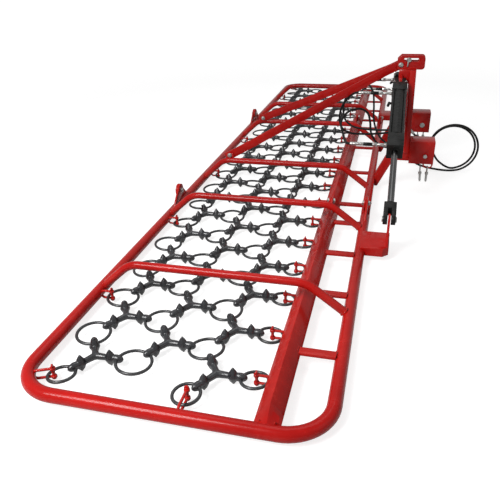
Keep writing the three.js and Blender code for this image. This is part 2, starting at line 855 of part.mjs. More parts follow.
// Ram bracket on a wing's front tube: a box arm with an upright lug plate
function ramBracket() {
  const front = frameLength + bracketReach;
  const outer = bracketOut + bracketWidth;
  const arm = plateFlat(
    [
      [frameLength, bracketOut],
      [front, bracketOut],
      [front, outer - bracketChamfer],
      [front - bracketChamfer, outer],
      [frameLength, outer],
    ],
    bracketTop - bracketHeight,
    bracketTop,
  );
  const lug = new THREE.Shape();
  lug.moveTo(bracketOut + weldDepth, bracketTop - weldDepth);
  lug.lineTo(outer - bracketChamfer, bracketTop - weldDepth);
  lug.absarc(lugOut, lugPinRise, lugNose, 0, Math.PI, false);
  const hole = holePoints(bottomPinRadius, boltSides, lugOut, lugPinRise);
  const plate = plateAcross(lug, ramX - lugThickness / 2, ramX + lugThickness / 2, [hole]);
  const tubeRoom = acrossPipe(frameLength, hingeOut, endOut, tubeRadius + clearance, tubeSides);
  const behind = box(0, frameLength, bracketOut - overrun, outer + overrun, -tubeDiameter, tubeDiameter);
  const hollow = box(
    frameLength,
    front - bracketChamfer - bracketWall,
    bracketOut + bracketWall,
    outer - bracketWall,
    bracketTop - bracketHeight + bracketWall,
    bracketTop - bracketWall,
  );
  return cut(join(arm, plate), tubeRoom, behind, hollow);
}

// Outline of a band of the given width along a line of points, with mitred corners
function band(points, width) {
  const half = width / 2;
  const sides = [[], []];
  points.forEach(([x, z], i) => {
    const before = points[Math.max(i - 1, 0)];
    const after = points[Math.min(i + 1, points.length - 1)];
    const inward = i === 0 ? unit(points[0], points[1]) : unit(before, [x, z]);
    const outward = i === points.length - 1 ? inward : unit([x, z], after);
    const across = [-(inward[1] + outward[1]), inward[0] + outward[0]];
    const square = across[0] * -inward[1] + across[1] * inward[0];
    const scale = half / square;
    sides[0].push([x + across[0] * scale, z + across[1] * scale]);
    sides[1].unshift([x - across[0] * scale, z - across[1] * scale]);
  });
  return [...sides[1], ...sides[0]].reverse();
}

function unit(from, to) {
  const length = Math.hypot(to[0] - from[0], to[1] - from[1]);
  return [(to[0] - from[0]) / length, (to[1] - from[1]) / length];
}

// Side frames rise from the front member to the link brackets
const sideFrameTop = sideKneeRise + sideFrameWidth / 2;

function sideFrame() {
  const line = [
    [sideFootX, sideFootRise],
    [sideKneeX, sideKneeRise],
    [linkBracketX - clearance, sideKneeRise],
  ];
  const down = unit(line[1], line[0]);
  line[0] = [line[0][0] + down[0] * memberHeight, line[0][1] + down[1] * memberHeight];
  const boxTube = (half, spare) => {
    const path = [line[0], line[1], [line[2][0] + spare, line[2][1]]];
    return plateAlong(band(path, 2 * half), linkBracketOut - half, linkBracketOut + half);
  };
  const bent = cut(boxTube(sideFrameWidth / 2, 0), boxTube(sideFrameWidth / 2 - boxWall, overrun));
  const front = frameLength + memberWidth / 2 + clearance;
  const low = -memberHeight / 2;
  const behind = box(0, front, 0, hingeOut, -frameLength, memberHeight);
  const below = box(0, sideKneeX, 0, hingeOut, -frameLength, low);
  return cut(bent, behind, below, memberBox(clearance, 0));
}

function linkBracket() {
  const front = linkBracketX + linkBracketLength;
  const top = linkBracketBottom + linkBracketHeight;
  const [inner, outer] = [linkBracketOut - linkBracketHalf, linkBracketOut + linkBracketHalf];
  const block = box(linkBracketX, front, inner, outer, linkBracketBottom, top);
  const room = box(
    linkBracketX + plateThickness,
    front + overrun,
    inner + plateThickness,
    outer - plateThickness,
    linkBracketBottom - overrun,
    top - plateThickness,
  );
  const bore = linkPinBar(inner - overrun, outer + overrun, linkPinRadius + clearance);
  const ends = linkBracketBottom + weldDepth;
  const loop = [
    at(loopX0, loopOut, ends),
    at(loopX0, loopOut, linkBracketBottom - loopDrop),
    at(loopX0 + loopSpan, loopOut, linkBracketBottom - loopDrop),
    at(loopX0 + loopSpan, loopOut, ends),
  ];
  return join(cut(block, room, bore), pipe(new BentPath(loop, loopBend, 2), loopWire, loopSides));
}

const linkPinBar = (y0, y1, radius) =>
  bar(at(linkPinX, y0, linkPinRise), at(linkPinX, y1, linkPinRise), radius, linkPinSides);

// Lower-link pin with its head on the inner side
function linkPin() {
  const inner = linkBracketOut - linkBracketHalf - clearance;
  const outer = linkBracketOut + linkBracketHalf;
  const shank = linkPinBar(inner - overrun, outer + 3 * linchWire + 2 * linchPinRadius, linkPinRadius);
  const head = linkPinBar(inner - pinHeadLength, inner, linkPinRadius + pinHeadLength);
  return join(shank, head);
}

// Mast uprights lean in from the cross tube to the mast block
const uprightFoot = sideFrameTop + clearance;
const mastLean = (mastBlockTop - uprightFoot) / (linkBracketOut - mastTopOut); // rise for each unit in

function upright() {
  const halfFoot = ((uprightWidth / 2) * Math.hypot(1, mastLean)) / mastLean;
  const blockSide = mastBlockHalf + clearance;
  const [inner, outer] = [linkBracketOut - halfFoot, linkBracketOut + halfFoot];
  const outline = [
    [outer, uprightFoot],
    [outer - (mastBlockTop - uprightFoot) / mastLean, mastBlockTop],
    [blockSide, mastBlockTop],
    [blockSide, uprightFoot + (inner - blockSide) * mastLean],
    [inner, uprightFoot],
  ];
  const lean = (z) => linkBracketOut - (z - uprightFoot) / mastLean;
  const bore = halfFoot - boxWall * 1.25;
  const [low, high] = [uprightFoot - overrun, mastBlockTop - boxWall * 6];
  const hollow = [
    [lean(low) + bore, low],
    [lean(high) + bore, high],
    [Math.max(lean(high) - bore, blockSide + boxWall), high],
    [blockSide + boxWall, uprightFoot + (linkBracketOut - bore - blockSide - boxWall) * mastLean],
    [lean(low) - bore, low],
  ];
  const half = uprightThickness / 2;
  return cut(
    plateAcross(outline, uprightX - half, uprightX + half),
    plateAcross(hollow, uprightX - half + boxWall, uprightX + half - boxWall),
  );
}

function crossTube() {
  const half = crossTubeSize / 2;
  const end = linkBracketOut - sideFrameWidth / 2 - clearance;
  const [low, high] = [sideFrameTop - crossTubeSize, sideFrameTop];
  const outside = box(crossTubeX - half, crossTubeX + half, -end, end, low, high);
  const wall = memberWall;
  const inside = box(
    crossTubeX - half + wall,
    crossTubeX + half - wall,
    -end - overrun,
    end + overrun,
    low + wall,
    high - wall,
  );
  return cut(outside, inside);
}

// Mast block with a lug on each side for the rams' top pins
function mastBlock() {
  const block = box(
    mastBlockRear,
    mastBlockFront,
    -mastBlockHalf,
    mastBlockHalf,
    mastBlockBottom,
    mastBlockTop,
  );
  const lug = new THREE.Shape();
  lug.moveTo(0, mastBlockBottom);
  lug.absarc(topPinOut, topPinRise, capEarNose, -0.5 * Math.PI, 0.5 * Math.PI, false);
  lug.lineTo(0, mastBlockTop - pinHeadLength);
  const hole = holePoints(topPinRadius, boltSides, topPinOut, topPinRise);
  const plate = plateAcross(lug, ramX - ramLugThickness / 2, ramX + ramLugThickness / 2, [hole]);
  return join(block, plate, mirrored(plate));
}

// Head plates with the top link's slot

function headPlate() {
  const top = headBottom + headRise;
  const outline = new THREE.Shape();
  outline.moveTo(headRear, headBottom);
  outline.lineTo(headFront - headCorner, headBottom);
  outline.absarc(headFront - headCorner, headBottom + headCorner, headCorner, -0.5 * Math.PI, 0, false);
  outline.absarc(headFront - headCorner, top - headCorner, headCorner, 0, 0.5 * Math.PI, false);
  outline.lineTo(headRear + headRearCorner, top);
  outline.lineTo(headRear, top - headRearCorner);
  const slotHalf = topLinkPinRadius + clearance;
  const slot = new THREE.Path();
  slot.absarc(slotRear + slotHalf, slotRise, slotHalf, 0.5 * Math.PI, 1.5 * Math.PI, false);
  slot.absarc(slotFront - slotHalf, slotRise, slotHalf, -0.5 * Math.PI, 0.5 * Math.PI, false);
  const bolt = holePoints(boltRadius, boltSides, stayBoltX, stayBoltRise);
  return plateAlong(outline, headHalf, headHalf + plateThickness, [slot.getPoints(3), bolt]);
}

// Pin across both head plates, in the slot
function topLinkPin() {
  const end = headHalf + plateThickness + clearance;
  const pin = (y0, y1, radius) =>
    bar(at(topLinkPinX, y0, slotRise), at(topLinkPinX, y1, slotRise), radius, linkPinSides);
  return join(
    pin(-end - overrun, end + 3 * linchWire + 2 * linchPinRadius, topLinkPinRadius),
    pin(-end - pinHeadLength, -end, pinHeadRadius),
  );
}

// Bolt across Y, from one y to another, with a head at each end
function crossBolt(x, z, y0, y1) {
  return join(
    bar(at(x, y0 - overrun, z), at(x, y1 + overrun, z), boltRadius, boltSides),
    bar(at(x, y0 - boltHeadLength, z), at(x, y0, z), boltHeadRadius, hexSides),
    bar(at(x, y1, z), at(x, y1 + boltHeadLength, z), boltHeadRadius, hexSides),
  );
}

// Stay: a flat bar on edge, straight in side view, set in at both ends to lie against its plates
function stay() {
  const rise = (stayBoltRise - stayRearRise) / (stayBoltX - stayRearX);
  const onLine = (x) => [x, stayRearRise + (x - stayRearX) * rise];
  const [rearEnd, headEnd] = [stayRearX - stayEndLength, stayBoltX + stayEndLength / 2];
  const side = plateAlong(band([onLine(rearEnd), onLine(headEnd)], stayWidth), 0, hingeOut);
  const plan = [
    [rearEnd - stayWidth, stayRearOut],
    [stayRearX + stayEndLength, stayRearOut],
    [headRear - stayWidth, stayHeadOut],
    [headEnd + stayWidth, stayHeadOut],
  ];
  const strip = plateFlat(band(plan, stayThickness), 0, headBottom + headRise);
  const headHole = bar(
    at(stayBoltX, 0, stayBoltRise),
    at(stayBoltX, headHalf, stayBoltRise),
    boltRadius + clearance,
    boltSides,
  );
  const rearHole = bar(
    at(stayRearX, stayRearOut - stayWidth, stayRearRise),
    at(stayRearX, stayRearOut + stayWidth, stayRearRise),
    boltRadius + clearance,
    boltSides,
  );
  const reach = mastBlockHalf;
  const blockRoom = box(mastBlockRear - clearance, mastBlockFront, -reach, reach, 0, headBottom);
  return cut(common(side, strip), headHole, rearHole, blockRoom);
}

// Rams are drawn along Y from their top pin and then tipped down to the wing's lug
const ramPlace = (geometry) => geometry.rotateX(-ramAngle).translate(ramX, topPinOut, topPinRise);

function forkEars(along, nose, slotHalf, outerHalf, reach, hole) {
  const shape = new THREE.Shape();
  const way = Math.sign(reach - along);
  shape.moveTo(reach, nose);
  shape.absarc(along, 0, nose, 0.5 * Math.PI, 1.5 * Math.PI, way > 0 ? false : true);
  shape.lineTo(reach, -nose);
  const ears = plateAcross(shape, -outerHalf, outerHalf, [holePoints(hole, boltSides, along, 0)]);
  const slotEnd = reach - way * overrun;
  const slotStart = along - way * (nose + overrun);
  const slot = box(
    -slotHalf,
    slotHalf,
    Math.min(slotStart, slotEnd),
    Math.max(slotStart, slotEnd),
    -nose - overrun,
    nose + overrun,
  );
  return { ears, slot };
}

function barrelPort(along) {
  const start = -blockSize / 2 + weldDepth;
  const reach = -blockSize / 2 - portLength;
  return [
    bar(at(start, along, 0), at(reach - ferruleLength - collarLength, along, 0), fittingRadius, fittingSides),
    bar(at(reach, along, 0), at(reach - collarLength, along, 0), collarRadius, fittingSides),
  ];
}

const upperPortAlong = capBlockStart + upperPortShare * capBlockLength - fittingRadius;
const lowerPortAlong = barrelEnd + lowerPortShare * (glandEnd - barrelEnd);
const portEndX = ramX - blockSize / 2 - portLength - collarLength - ferruleLength;

function ramBarrel() {
  const half = blockSize / 2;
  const slotHalf = ramLugThickness / 2 + runningGap;
  const capStart = capBlockStart;
  const outerHalf = slotHalf + capEarThickness;
  const fork = forkEars(0, capEarNose, slotHalf, outerHalf, capStart + overrun, topPinRadius);
  const slot = box(-slotHalf, slotHalf, -half, capStart - overrun * 2, -half, half);
  const tieRods = [-1, 1].flatMap((a) =>
    [-1, 1].map((b) =>
      bar(
        at(a * tieRodOffset, capStart + overrun, b * tieRodOffset),
        at(a * tieRodOffset, glandEnd - overrun, b * tieRodOffset),
        tieRodRadius,
        hexSides,
      ),
    ),
  );
  const body = join(
    cut(fork.ears, slot),
    box(-half, half, capStart, capStart + capBlockLength, -half, half),
    bar(at(0, capStart + overrun, 0), at(0, barrelEnd + overrun, 0), barrelRadius, barrelSides),
    box(-half, half, barrelEnd, glandEnd, -half, half),
    ...tieRods,
    ...barrelPort(upperPortAlong),
    ...barrelPort(lowerPortAlong),
  );
  const rodBore = bar(at(0, pistonStart, 0), at(0, glandEnd + overrun, 0), rodRadius + clearance, rodSides);
  const chamberStart = capStart + capBlockLength;
  const chamber = bar(at(0, chamberStart, 0), at(0, barrelEnd, 0), barrelRadius - barrelWall, barrelSides);
  return ramPlace(cut(body, rodBore, chamber));
}

// Rod with its piston and clevis. The bottom pin is left open in the slot, where the wing's lug passes.
const pistonStart = barrelEnd - cushion - pistonLength;

function ramRod() {
  const slotHalf = lugThickness / 2 + 5 * runningGap;
  const shaft = bar(at(0, pistonStart, 0), at(0, rodShoulder + overrun, 0), rodRadius, rodSides);
  const pistonRadius = barrelRadius - barrelWall - runningGap;
  const piston = bar(at(0, pistonStart, 0), at(0, barrelEnd - cushion, 0), pistonRadius, barrelSides);
  const shape = new THREE.Shape();
  const half = clevisHeight / 2;
  shape.moveTo(rodShoulder, half);
  shape.lineTo(rodShoulder, -half);
  shape.lineTo(ramPinToPin, -half);
  shape.absarc(ramPinToPin, 0, half, -0.5 * Math.PI, 0.5 * Math.PI, false);
  const clevis = plateAcross(shape, -clevisWidth / 2, clevisWidth / 2);
  const slot = box(
    -slotHalf,
    slotHalf,
    ramPinToPin - clevisBridge,
    ramPinToPin + clevisHeight,
    -clevisHeight,
    clevisHeight,
  );
  const heads = [-1, 1].map((side) =>
    bar(
      at((side * clevisWidth) / 2 - side * overrun, ramPinToPin, 0),
      at((side * clevisWidth) / 2 + side * pinHeadLength, ramPinToPin, 0),
      pinHeadRadius,
      boltSides,
    ),
  );
  return ramPlace(join(shaft, piston, cut(clevis, slot), ...heads));
}

function ramTopPin() {
  const half = ramLugThickness / 2 + runningGap + capEarThickness + clearance;
  return ramPlace(
    join(
      bar(at(-half - overrun, 0, 0), at(half + overrun, 0, 0), topPinRadius, boltSides),
      bar(at(-half - pinHeadLength, 0, 0), at(-half, 0, 0), pinHeadRadius, boltSides),
      bar(at(half, 0, 0), at(half + pinHeadLength, 0, 0), pinHeadRadius, boltSides),
    ),
  );
}

// Tee blocks on and under the cross tube. Their stubs take the port hoses, their ferrule a feed hose.
const teeRear = crossTubeX - teeLength / 2;
const upperTeeLow = sideFrameTop + clearance;
const lowerTeeHigh = sideFrameTop - crossTubeSize - clearance;
const teeStubX = teeRear - teeStub;
const upperStubRise = upperTeeLow + teeHeight / 2;
const lowerStubRise = lowerTeeHigh - teeHeight / 2;
const feedDrop = at(Math.SQRT1_2, 0, -Math.SQRT1_2);
const upperFeedStart = at(crossTubeX + teeLength / 2, teeStubOut, upperStubRise + fittingRadius);
const lowerFeedStart = at(crossTubeX + fittingRadius, 0, lowerTeeHigh - teeHeight);
const feedEnd = (start) => start.clone().addScaledVector(feedDrop, feedFerrule);

function tee(low, stubRise, feedStart) {
  const stubs = [-1, 1].map((side) =>
    bar(
      at(teeStubX, side * teeStubOut, stubRise),
      at(teeRear + weldDepth, side * teeStubOut, stubRise),
      fittingRadius,
      fittingSides,
    ),
  );
  const inside = feedStart.clone().addScaledVector(feedDrop, -weldDepth * 2);
  return join(
    box(teeRear, teeRear + teeLength, -teeHalf, teeHalf, low, low + teeHeight),
    ...stubs,
    bar(inside, feedEnd(feedStart), fittingRadius, fittingSides),
  );
}

// Hoses: hand-chosen routes from end to end, each end square to what it meets
function hose(route, sides, steps) {
  return pipe(new THREE.CatmullRomCurve3(route, false, "centripetal"), hoseRadius, sides, steps);
}

// A point on a ram, along it from its top pin, as drawn for the left side
const onRam = (x, along) =>
  at(x, topPinOut + along * Math.cos(ramAngle), topPinRise - along * Math.sin(ramAngle));

const lead = 2 * hoseRadius;
const offset = (point, x, y, z) => point.clone().add(at(x, y, z));

function upperHose() {
  const start = onRam(portEndX - clearance, upperPortAlong);
  const end = at(teeStubX - clearance, teeStubOut, upperStubRise);
  return [
    start,
    start.clone().add(at(-lead, 0, 0)),
    offset(start, -62.7, -68.9, -43.5),
    offset(start, -100.7, -76.9, -100.5),
    offset(start, -114.7, -88.9, -173.5),
    offset(end, -338.4, 80, 36.7),
    offset(end, -288.4, 58, -1.3),
    offset(end, -210.4, 36, -12.3),
    offset(end, -120.4, 18, -11.3),
    offset(end, -50.4, 6, -5.3),
    end.clone().add(at(-lead, 0, 0)),
    end,
  ];
}

function lowerHose() {
  const start = onRam(portEndX - clearance, lowerPortAlong);
  const end = at(teeStubX - clearance, teeStubOut, lowerStubRise);
  return [
    start,
    start.clone().add(at(-lead, 0, 0)),
    offset(start, -52.7, -168.9, 3.4),
    offset(start, -70.7, -208.9, 55.4),
    offset(start, -40.7, -273.9, 99.4),
    offset(start, 21.3, -343.9, 103.4),
    offset(start, 64.3, -413.9, 63.4),
    offset(end, -160.4, 204, 217.3),
    offset(end, -150.4, 134, 127.3),
    offset(end, -110.4, 69, 47.3),
    offset(end, -55.4, 22, 9.3),
    end.clone().add(at(-lead, 0, 0)),
    end,
  ];
}

// Feed hoses: down from the tee, once round in a standing loop, then back along the ground
const groundRise = hoseRadius + clearance - tineHeight;
const couplerRise = couplerRadius + clearance - tineHeight;
const loopSteps = 24;

function loopPoints(centre, radius, outStart, outEnd) {
  const points = [];
  const count = loopSteps / 2;
  for (let step = 0; step < count; step++) {
    const share = step / (count - 1);
    const turn = -0.5 * Math.PI + share * 1.42 * Math.PI;
    const out = outStart + (outEnd - outStart) * share;
    points.push(at(centre.x + radius * Math.cos(turn), out, centre.z + radius * Math.sin(turn)));
  }
  return points;
}

const lowerLoopRadius = 148;
const upperLoopRadius = 137;
const bracketFront = linkBracketX + linkBracketLength;
const loopX = bracketFront + 145;
const lowerCouplerX = bracketFront - 58;
const upperCouplerX = bracketFront + 5;
const couplerOut = 292;

function lowerFeedHose() {
  const start = feedEnd(lowerFeedStart).addScaledVector(feedDrop, clearance);
  return [
    start,
    start.clone().addScaledVector(feedDrop, lead),
    at(bracketFront - 72, 1, 8),
    at(bracketFront - 10, 6, -14),
    at(bracketFront + 70, 14, groundRise + 4),
    ...loopPoints(at(loopX, 0, groundRise + lowerLoopRadius), lowerLoopRadius, 20, 42),
    at(bracketFront - 18, 66, 40),
    at(bracketFront - 38, 118, -5),
    at(bracketFront - 54, 190, couplerRise),
    at(lowerCouplerX, couplerOut - lead, couplerRise),
    at(lowerCouplerX, couplerOut - clearance, couplerRise),
  ];
}

function upperFeedHose() {
  const start = feedEnd(upperFeedStart).addScaledVector(feedDrop, clearance);
  return [
    start,
    start.clone().addScaledVector(feedDrop, lead),
    at(bracketFront - 28, 52, 148),
    at(bracketFront + 18, 64, 82),
    at(bracketFront + 66, 68, 12),
    ...loopPoints(at(loopX, 0, groundRise + upperLoopRadius), upperLoopRadius, 72, 98),
    at(bracketFront + 18, 122, 42),
    at(bracketFront + 12, 170, -8),
    at(bracketFront + 8, 222, couplerRise),
    at(upperCouplerX, couplerOut - lead, couplerRise),
    at(upperCouplerX, couplerOut - clearance, couplerRise),
  ];
}

function coupler(x) {
  const end = couplerOut + couplerLength;
  const [collarStart, collarEnd] = [couplerOut + couplerCollar, end - couplerCollar];
  return join(
    bar(at(x, couplerOut, couplerRise), at(x, end, couplerRise), fittingRadius, fittingSides),
    bar(at(x, collarStart, couplerRise), at(x, collarEnd, couplerRise), couplerRadius, rodSides),
  );
}

// Least gap between the far parts of one hose, measured on points along its route
function leastGap(route, steps) {
  const points = new THREE.CatmullRomCurve3(route, false, "centripetal").getSpacedPoints(steps * 4);
  let least = Infinity;
  const apart = 10 * hoseRadius;
  const stride = points[0].distanceTo(points[1]);
  points.forEach((point, i) => {
    for (let j = i + Math.ceil(apart / stride); j < points.length; j++)
      least = Math.min(least, point.distanceTo(points[j]) - 2 * hoseRadius);
  });
  return least;
}

// Linch pin: it hangs by its spring ring on the loop under its link bracket
const loopLow = linkBracketBottom - loopDrop;

function linchPin() {
  const ringMiddle = loopLow + loopWire + clearance + linchWire - linchRingRadius;
  const ring = new THREE.TorusGeometry(linchRingRadius, linchWire, 4, 8)
    .rotateY(Math.PI / 2)
    .translate(loopX0 + loopSpan / 2, loopOut, ringMiddle);
  const x = loopX0 + loopSpan / 2;
  const head = ringMiddle - linchRingRadius;
  const [top, tip] = [at(x, loopOut, head + linchWire), at(x, loopOut, head - linchPinLength)];
  const pin = bar(top, tip, linchPinRadius, linchSides);
  return join(ring, pin);
}

// Centre frame
place("centre_rear_tube", centreRearTube(), redPaint);
place("centre_front_member", centreFrontMember(), redPaint);
place("centre_mat_beam", centreBeam(), redPaint);
placePair("centre_hoop", centreHoop(), redPaint);
place("centre_mat", matSection("centre", (link) => link.section === "centre"), castBlack);

// Wings
placePair("wing_tube", wingTube(), redPaint);
placePair("wing_mat_beam", wingBeam(), redPaint);
placePair("outer_hoop", wingHoop(wingHoopShares[0]), redPaint);
placePair("inner_hoop", wingHoop(wingHoopShares[1]), redPaint);
placePair("ram_bracket", ramBracket(), redPaint);
placePair("wing_mat", matSection("wing", (link) => link.section === "wing" && link.y > 0), castBlack);
placePair("rear_hinge_bolt", hingeBolt(0), zincSteel);
placePair("beam_hinge_bolt", hingeBolt(beamX), zincSteel);
placePair("front_hinge_bolt", hingeBolt(frameLength), zincSteel);

// Headstock
placePair("side_frame", sideFrame(), redPaint);
placePair("link_bracket", linkBracket(), redPaint);
placePair("lower_link_pin", linkPin(), zincSteel);
placePair("linch_pin", linchPin(), zincSteel);
placePair("mast_upright", upright(), redPaint);
place("cross_tube", crossTube(), redPaint);
place("mast_block", mastBlock(), redPaint);
placePair("head_plate", headPlate(), redPaint);
place("top_link_pin", topLinkPin(), zincSteel);
placePair("stay", stay(), redPaint);
const headBoltEnd = headHalf + plateThickness + clearance;
place("head_bolt", crossBolt(stayBoltX, stayBoltRise, -headBoltEnd, headBoltEnd), zincSteel);
const stayBoltNear = stayRearOut - stayThickness / 2 - clearance;
placePair("stay_bolt", crossBolt(stayRearX, stayRearRise, stayBoltNear, stayLugFar + clearance), zincSteel);

// Rams and hydraulics
placePair("ram_barrel", ramBarrel(), ramBlack);
placePair("ram_rod", ramRod(), brightSteel);
placePair("ram_top_pin", ramTopPin(), zincSteel);
place("upper_tee", tee(upperTeeLow, upperStubRise, upperFeedStart), zincSteel);
place("lower_tee", tee(lowerTeeHigh - teeHeight, lowerStubRise, lowerFeedStart), zincSteel);
placePair("upper_hose", hose(upperHose(), portHoseSides, 18), hoseRubber);
placePair("lower_hose", hose(lowerHose(), portHoseSides, 22), hoseRubber);
place("lower_feed_hose", hose(lowerFeedHose(), feedHoseSides, 36), hoseRubber);
place("upper_feed_hose", hose(upperFeedHose(), feedHoseSides, 36), hoseRubber);
place("lower_feed_coupler", coupler(lowerCouplerX), zincSteel);
place("upper_feed_coupler", coupler(upperCouplerX), zincSteel);
const hoseGap = Math.min(leastGap(lowerFeedHose(), 36), leastGap(upperFeedHose(), 36));
console.log("least gap of a looped hose to itself, mm:", hoseGap.toFixed(1));

export default harrow;
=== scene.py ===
import bpy
from math import asin, atan2, cos, hypot, pi, radians, sin, sqrt, tan
from mathutils import Matrix, Vector, noise


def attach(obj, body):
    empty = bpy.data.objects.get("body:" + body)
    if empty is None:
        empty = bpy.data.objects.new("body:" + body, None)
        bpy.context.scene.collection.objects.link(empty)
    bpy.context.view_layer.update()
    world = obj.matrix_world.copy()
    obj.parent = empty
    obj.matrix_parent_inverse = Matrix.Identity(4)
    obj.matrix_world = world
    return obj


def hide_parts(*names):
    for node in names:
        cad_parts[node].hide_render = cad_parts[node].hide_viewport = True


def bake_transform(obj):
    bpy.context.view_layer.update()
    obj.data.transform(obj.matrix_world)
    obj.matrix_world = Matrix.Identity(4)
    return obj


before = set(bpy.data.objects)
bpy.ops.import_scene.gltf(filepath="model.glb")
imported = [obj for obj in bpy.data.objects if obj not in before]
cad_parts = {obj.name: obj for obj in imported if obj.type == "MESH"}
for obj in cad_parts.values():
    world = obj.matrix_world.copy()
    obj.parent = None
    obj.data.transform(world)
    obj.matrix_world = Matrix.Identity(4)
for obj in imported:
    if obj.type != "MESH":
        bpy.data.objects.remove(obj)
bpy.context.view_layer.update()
print("frame loaded:", len(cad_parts), "nodes")

# The harrow is measured in millimetres from its rear tube, and stands on the ground in metres.
harrow = {
    "middle": 678.3364, "ground": 40.0, "length": 1035.0, "endOut": 2475.0, "hingeOut": 895.0, "hingeRise": 77.0,
    "gap": 0.3,
}


def spot(x, y, z):
    return Vector(((x - harrow["middle"]) / 1000, y / 1000, (z + harrow["ground"]) / 1000))


# ---- camera

view = {"spot": (1123, -3604, 1202), "turn": 14.92, "rise": 27.62, "roll": 1.704, "lens": 39.49}


def addCamera():
    turn, rise, roll = (radians(view[key]) for key in ("turn", "rise", "roll"))
    back = Vector((sin(turn) * cos(rise), -cos(turn) * cos(rise), sin(rise)))
    right = Vector((0, 0, 1)).cross(back).normalized()
    up = back.cross(right)
    rows = (cos(roll) * right - sin(roll) * up, sin(roll) * right + cos(roll) * up, back)
    bpy.ops.object.camera_add()
    camera = bpy.context.object
    camera.matrix_world = Matrix.Translation(spot(*view["spot"])) @ Matrix(rows).transposed().to_4x4()
    camera.data.lens = view["lens"]
    camera.data.sensor_width = 36
    camera.data.sensor_fit = "HORIZONTAL"
    camera.data.clip_end = 60
    bpy.context.scene.camera = camera


addCamera()
print("camera placed")


# ---- materials

def newMaterial(name):
    material = bpy.data.materials.new(name)
    material.use_nodes = True
    return material, material.node_tree.nodes, material.node_tree.links


def noiseAt(nodes, links, coords, scale, detail, stretch=(1, 1, 1)):
    mapping = nodes.new("ShaderNodeMapping")
    mapping.inputs["Scale"].default_value = stretch
    texture = nodes.new("ShaderNodeTexNoise")
    texture.inputs["Scale"].default_value = scale
    texture.inputs["Detail"].default_value = detail
    links.new(coords.outputs["Object"], mapping.inputs["Vector"])
    links.new(mapping.outputs["Vector"], texture.inputs["Vector"])
    return texture


def ramp(nodes, links, source, stops):
    node = nodes.new("ShaderNodeValToRGB")
    while len(node.color_ramp.elements) < len(stops):
        node.color_ramp.elements.new(0.5)
    for element, (place, colour) in zip(node.color_ramp.elements, stops):
        element.position = place
        element.color = (*colour, 1) if len(colour) == 3 else (colour[0], colour[0], colour[0], 1)
    links.new(source, node.inputs["Fac"])
    return node


def blendColours(nodes, links, amount, first, second):
    node = nodes.new("ShaderNodeMix")
    node.data_type = "RGBA"
    links.new(amount, node.inputs["Factor"])
    links.new(first, node.inputs["A"])
    links.new(second, node.inputs["B"])
    return node.outputs["Result"]


layers = {"mottle": 0.35, "dustFade": 0.18, "wearFrom": 0.53, "wearFull": 0.6}


# Every finish has broad shade, fine mottle, dust, worn edges, a bump and uneven gloss
def makeFinish(name, spec):
    material, nodes, links = newMaterial(name)
    shader = nodes["Principled BSDF"]
    coords = nodes.new("ShaderNodeTexCoord")
    broad = noiseAt(nodes, links, coords, spec["broadScale"], 4)
    shade = ramp(nodes, links, broad.outputs["Fac"], [(0.3, spec["dark"]), (0.7, spec["light"])])
    fine = noiseAt(nodes, links, coords, spec["fineScale"], 8, spec.get("stretch", (1, 1, 1)))
    mottle = ramp(nodes, links, fine.outputs["Fac"], [(0.35, spec["dark"]), (0.65, spec["light"])])
    share = nodes.new("ShaderNodeMath")
    share.operation = "MULTIPLY"
    share.inputs[1].default_value = layers["mottle"]
    links.new(fine.outputs["Fac"], share.inputs[0])
    colour = blendColours(nodes, links, share.outputs[0], shade.outputs["Color"], mottle.outputs["Color"])
    dust = noiseAt(nodes, links, coords, spec["dustScale"], 10)
    dustStops = [(spec["dustFrom"], (0.0,)), (spec["dustFrom"] + layers["dustFade"], (spec["dustMost"],))]
    dustMask = ramp(nodes, links, dust.outputs["Fac"], dustStops)
    dustColour = nodes.new("ShaderNodeRGB")
    dustColour.outputs[0].default_value = (*spec["dust"], 1)
    colour = blendColours(nodes, links, dustMask.outputs["Color"], colour, dustColour.outputs[0])
    geometry = nodes.new("ShaderNodeNewGeometry")
    wearStops = [(layers["wearFrom"], (0.0,)), (layers["wearFull"], (spec["wearMost"],))]
    edge = ramp(nodes, links, geometry.outputs["Pointiness"], wearStops)
    broken = nodes.new("ShaderNodeMath")
    broken.operation = "MULTIPLY"
    links.new(edge.outputs["Color"], broken.inputs[0])
    links.new(fine.outputs["Fac"], broken.inputs[1])
    wearColour = nodes.new("ShaderNodeRGB")
    wearColour.outputs[0].default_value = (*spec["wear"], 1)
    colour = blendColours(nodes, links, broken.outputs[0], colour, wearColour.outputs[0])
    links.new(colour, shader.inputs["Base Color"])
    gloss = ramp(nodes, links, fine.outputs["Fac"], [(0.3, (spec["rough"][0],)), (0.7, (spec["rough"][1],))])
    links.new(gloss.outputs["Color"], shader.inputs["Roughness"])
    grain = noiseAt(nodes, links, coords, spec["bumpScale"], 6, spec.get("stretch", (1, 1, 1)))
    bump = nodes.new("ShaderNodeBump")
    bump.inputs["Strength"].default_value = spec["bump"]
    bump.inputs["Distance"].default_value = spec["bumpDepth"]
    links.new(grain.outputs["Fac"], bump.inputs["Height"])
    links.new(bump.outputs["Normal"], shader.inputs["Normal"])
    shader.inputs["Metallic"].default_value = spec["metal"]
    shader.inputs["Specular IOR Level"].default_value = spec.get("shine", 0.5)
    shader.inputs["Coat Weight"].default_value = spec.get("coat", 0)
    shader.inputs["Coat Roughness"].default_value = spec.get("coatRough", 0.1)
    return material


